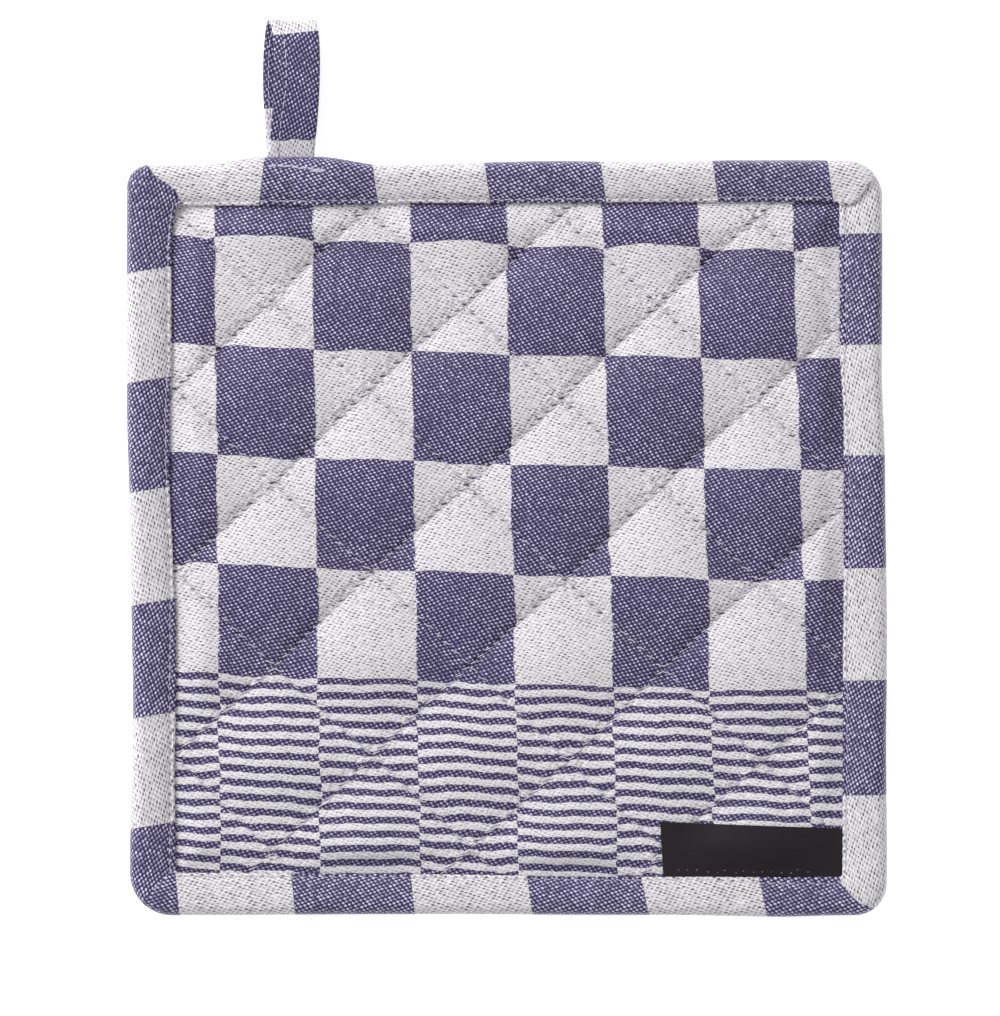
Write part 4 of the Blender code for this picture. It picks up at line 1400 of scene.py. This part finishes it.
class POTHOLDER_OT_loop_stitches(bpy.types.Operator):
    """Sew the row of stitches along the tape's open edge"""
    bl_idname = "potholder.loop_stitches"
    bl_label = "Loop Stitches"

    def execute(self, context):
        sewing = context.scene.potholder_sewing
        rows = loop_rows()
        above = np.cross(np.array((1.0, 0.0, 0.0)), np.gradient(rows, axis=0))
        above /= np.linalg.norm(above, axis=1)[:, None]
        found = []
        for face in (1.0, -1.0):
            line = rows + np.outer(np.interp(walked(rows), *TAPE_SEAM), (1.0, 0.0, 0.0))
            line = line + above * face * TAPE_TOP
            spots = evenly(line, STRIP_STITCH)
            placed = to_frame(spots)
            ups = [np.interp(walked(spots), walked(line), column * face) for column in above.T]
            for start, end, up in zip(placed, placed[1:], np.column_stack(ups)):
                middle, half = 0.5 * (start + end), 0.5 * TAPE_STITCH_SHARE * (end - start)
                if middle[2] > CLEAR_OF_TABLE:
                    found.append(Stitch(middle - half, middle + half, up))
        thread = sewing_thread("loop_thread", sewing.white_thread)
        sew("loop_stitches", found, sewing.thickness * FINE_THREAD, thread)
        return {"FINISHED"}


class POTHOLDER_OT_label_stitches(bpy.types.Operator):
    """Sew the label down along its lower edge"""
    bl_idname = "potholder.label_stitches"
    bl_label = "Label Stitches"

    def execute(self, context):
        sewing = context.scene.potholder_sewing
        shape = bmesh.new()
        shape.from_mesh(bpy.data.objects["sewn_label"].data)
        surface = BVHTree.FromBMesh(shape)
        shape.free()
        start, end, step = LABEL_ROW
        spots = []
        for x in np.arange(LABEL_LEFT + start, end, step):
            y = LABEL_ROW_UP - float(lip("bottom", LABEL_LEFT)) + LABEL_ROW_WAVER * math.sin(x)
            above = Vector((x * MM, (y + SHIFT_Y) * MM, 1.0))
            hit = surface.ray_cast(above, Vector((0.0, 0.0, -1.0)))[0]
            spots.append((x, y, hit.z / MM))
        found = stitches_between(np.array(spots), raised=0.00002, share=0.18, uneven=0.8)
        thread = sewing_thread("label_thread", sewing.dark_thread, roughness=0.6)
        sew("label_stitches", found, sewing.thickness * LABEL_THREAD, thread)
        return {"FINISHED"}


class POTHOLDER_OT_stage(bpy.types.Operator):
    """Set the white table, the soft lights and the camera straight above"""
    bl_idname = "potholder.stage"
    bl_label = "Stage"

    def execute(self, context):
        stage = context.scene.potholder_stage
        bpy.ops.object.select_all(action="DESELECT")
        bpy.ops.mesh.primitive_plane_add(size=TABLE_SIZE, location=(0.0, 0.0, -TABLE_DROP))
        table = just_made("table")
        table.data.materials.append(Finish("table_white").surface(None, {
            "Base Color": rgba(stage.floor), "Roughness": 0.9, "Specular IOR Level": 0.1,
            "Emission Color": (1.0, 1.0, 1.0, 1.0), "Emission Strength": stage.floor_glow,
        }))
        self.lights(context, stage)
        self.camera(context, stage)
        return {"FINISHED"}

    @staticmethod
    def lights(context, stage):
        bpy.ops.object.light_add(type="AREA", location=KEY_PLACE)
        key = just_made("key_light")
        key.data.energy = stage.key_power
        key.data.size = KEY_SIZE
        key.rotation_euler = (-Vector(KEY_PLACE)).to_track_quat("-Z", "Y").to_euler()
        world = bpy.data.worlds.new("studio")
        world.use_nodes = True
        sky = world.node_tree.nodes["Background"]
        sky.inputs["Color"].default_value = (1.0, 1.0, 1.0, 1.0)
        sky.inputs["Strength"].default_value = stage.fill
        context.scene.world = world
        context.scene.view_settings.view_transform = "Standard"

    @staticmethod
    def camera(context, stage):
        place = (*CAMERA_PLACE, stage.camera_height + CAMERA_OVER)
        bpy.ops.object.camera_add(location=place, rotation=(0.0, 0.0, 0.0))
        camera = just_made("camera_above")
        camera.data.sensor_width = SENSOR_MM
        camera.data.lens = SENSOR_MM * stage.camera_height / stage.picture_height
        camera.data.clip_end = SEEN_TO
        context.scene.camera = camera


class POTHOLDER_PT_panel(bpy.types.Panel):
    """Lists the pieces and their settings in the sidebar."""
    bl_idname = "POTHOLDER_PT_panel"
    bl_label = "Pot Holder"
    bl_space_type = "VIEW_3D"
    bl_region_type = "UI"
    bl_category = "Pot Holder"

    def draw(self, context):
        layout = self.layout
        for operator in OPERATORS:
            layout.operator(operator.bl_idname)
        for name, group in SETTINGS.items():
            box = layout.box()
            box.label(text=group.__doc__.rstrip("."))
            for field in group.__annotations__:
                box.prop(getattr(context.scene, name), field)


# ---------------- add-on

SETTINGS = {
    "potholder_cloth": ClothSettings,
    "potholder_quilt": QuiltSettings,
    "potholder_binding": BindingSettings,
    "potholder_loop": LoopSettings,
    "potholder_label": LabelSettings,
    "potholder_sewing": StitchSettings,
    "potholder_stage": StageSettings,
}
OPERATORS = (
    POTHOLDER_OT_stage, POTHOLDER_OT_quilted_pad, POTHOLDER_OT_binding, POTHOLDER_OT_hanging_loop,
    POTHOLDER_OT_label, POTHOLDER_OT_quilting_stitches, POTHOLDER_OT_binding_stitches,
    POTHOLDER_OT_loop_stitches, POTHOLDER_OT_label_stitches,
)
CLASSES = (*SETTINGS.values(), *OPERATORS, POTHOLDER_PT_panel)


def register():
    for cls in CLASSES:
        bpy.utils.register_class(cls)
    for name, group in SETTINGS.items():
        setattr(bpy.types.Scene, name, PointerProperty(type=group))


def unregister():
    for name in SETTINGS:
        delattr(bpy.types.Scene, name)
    for cls in reversed(CLASSES):
        bpy.utils.unregister_class(cls)


def main():
    register()
    for operator in OPERATORS:
        group, name = operator.bl_idname.split(".")
        getattr(getattr(bpy.ops, group), name)()


if __name__ == "__main__":
    main()
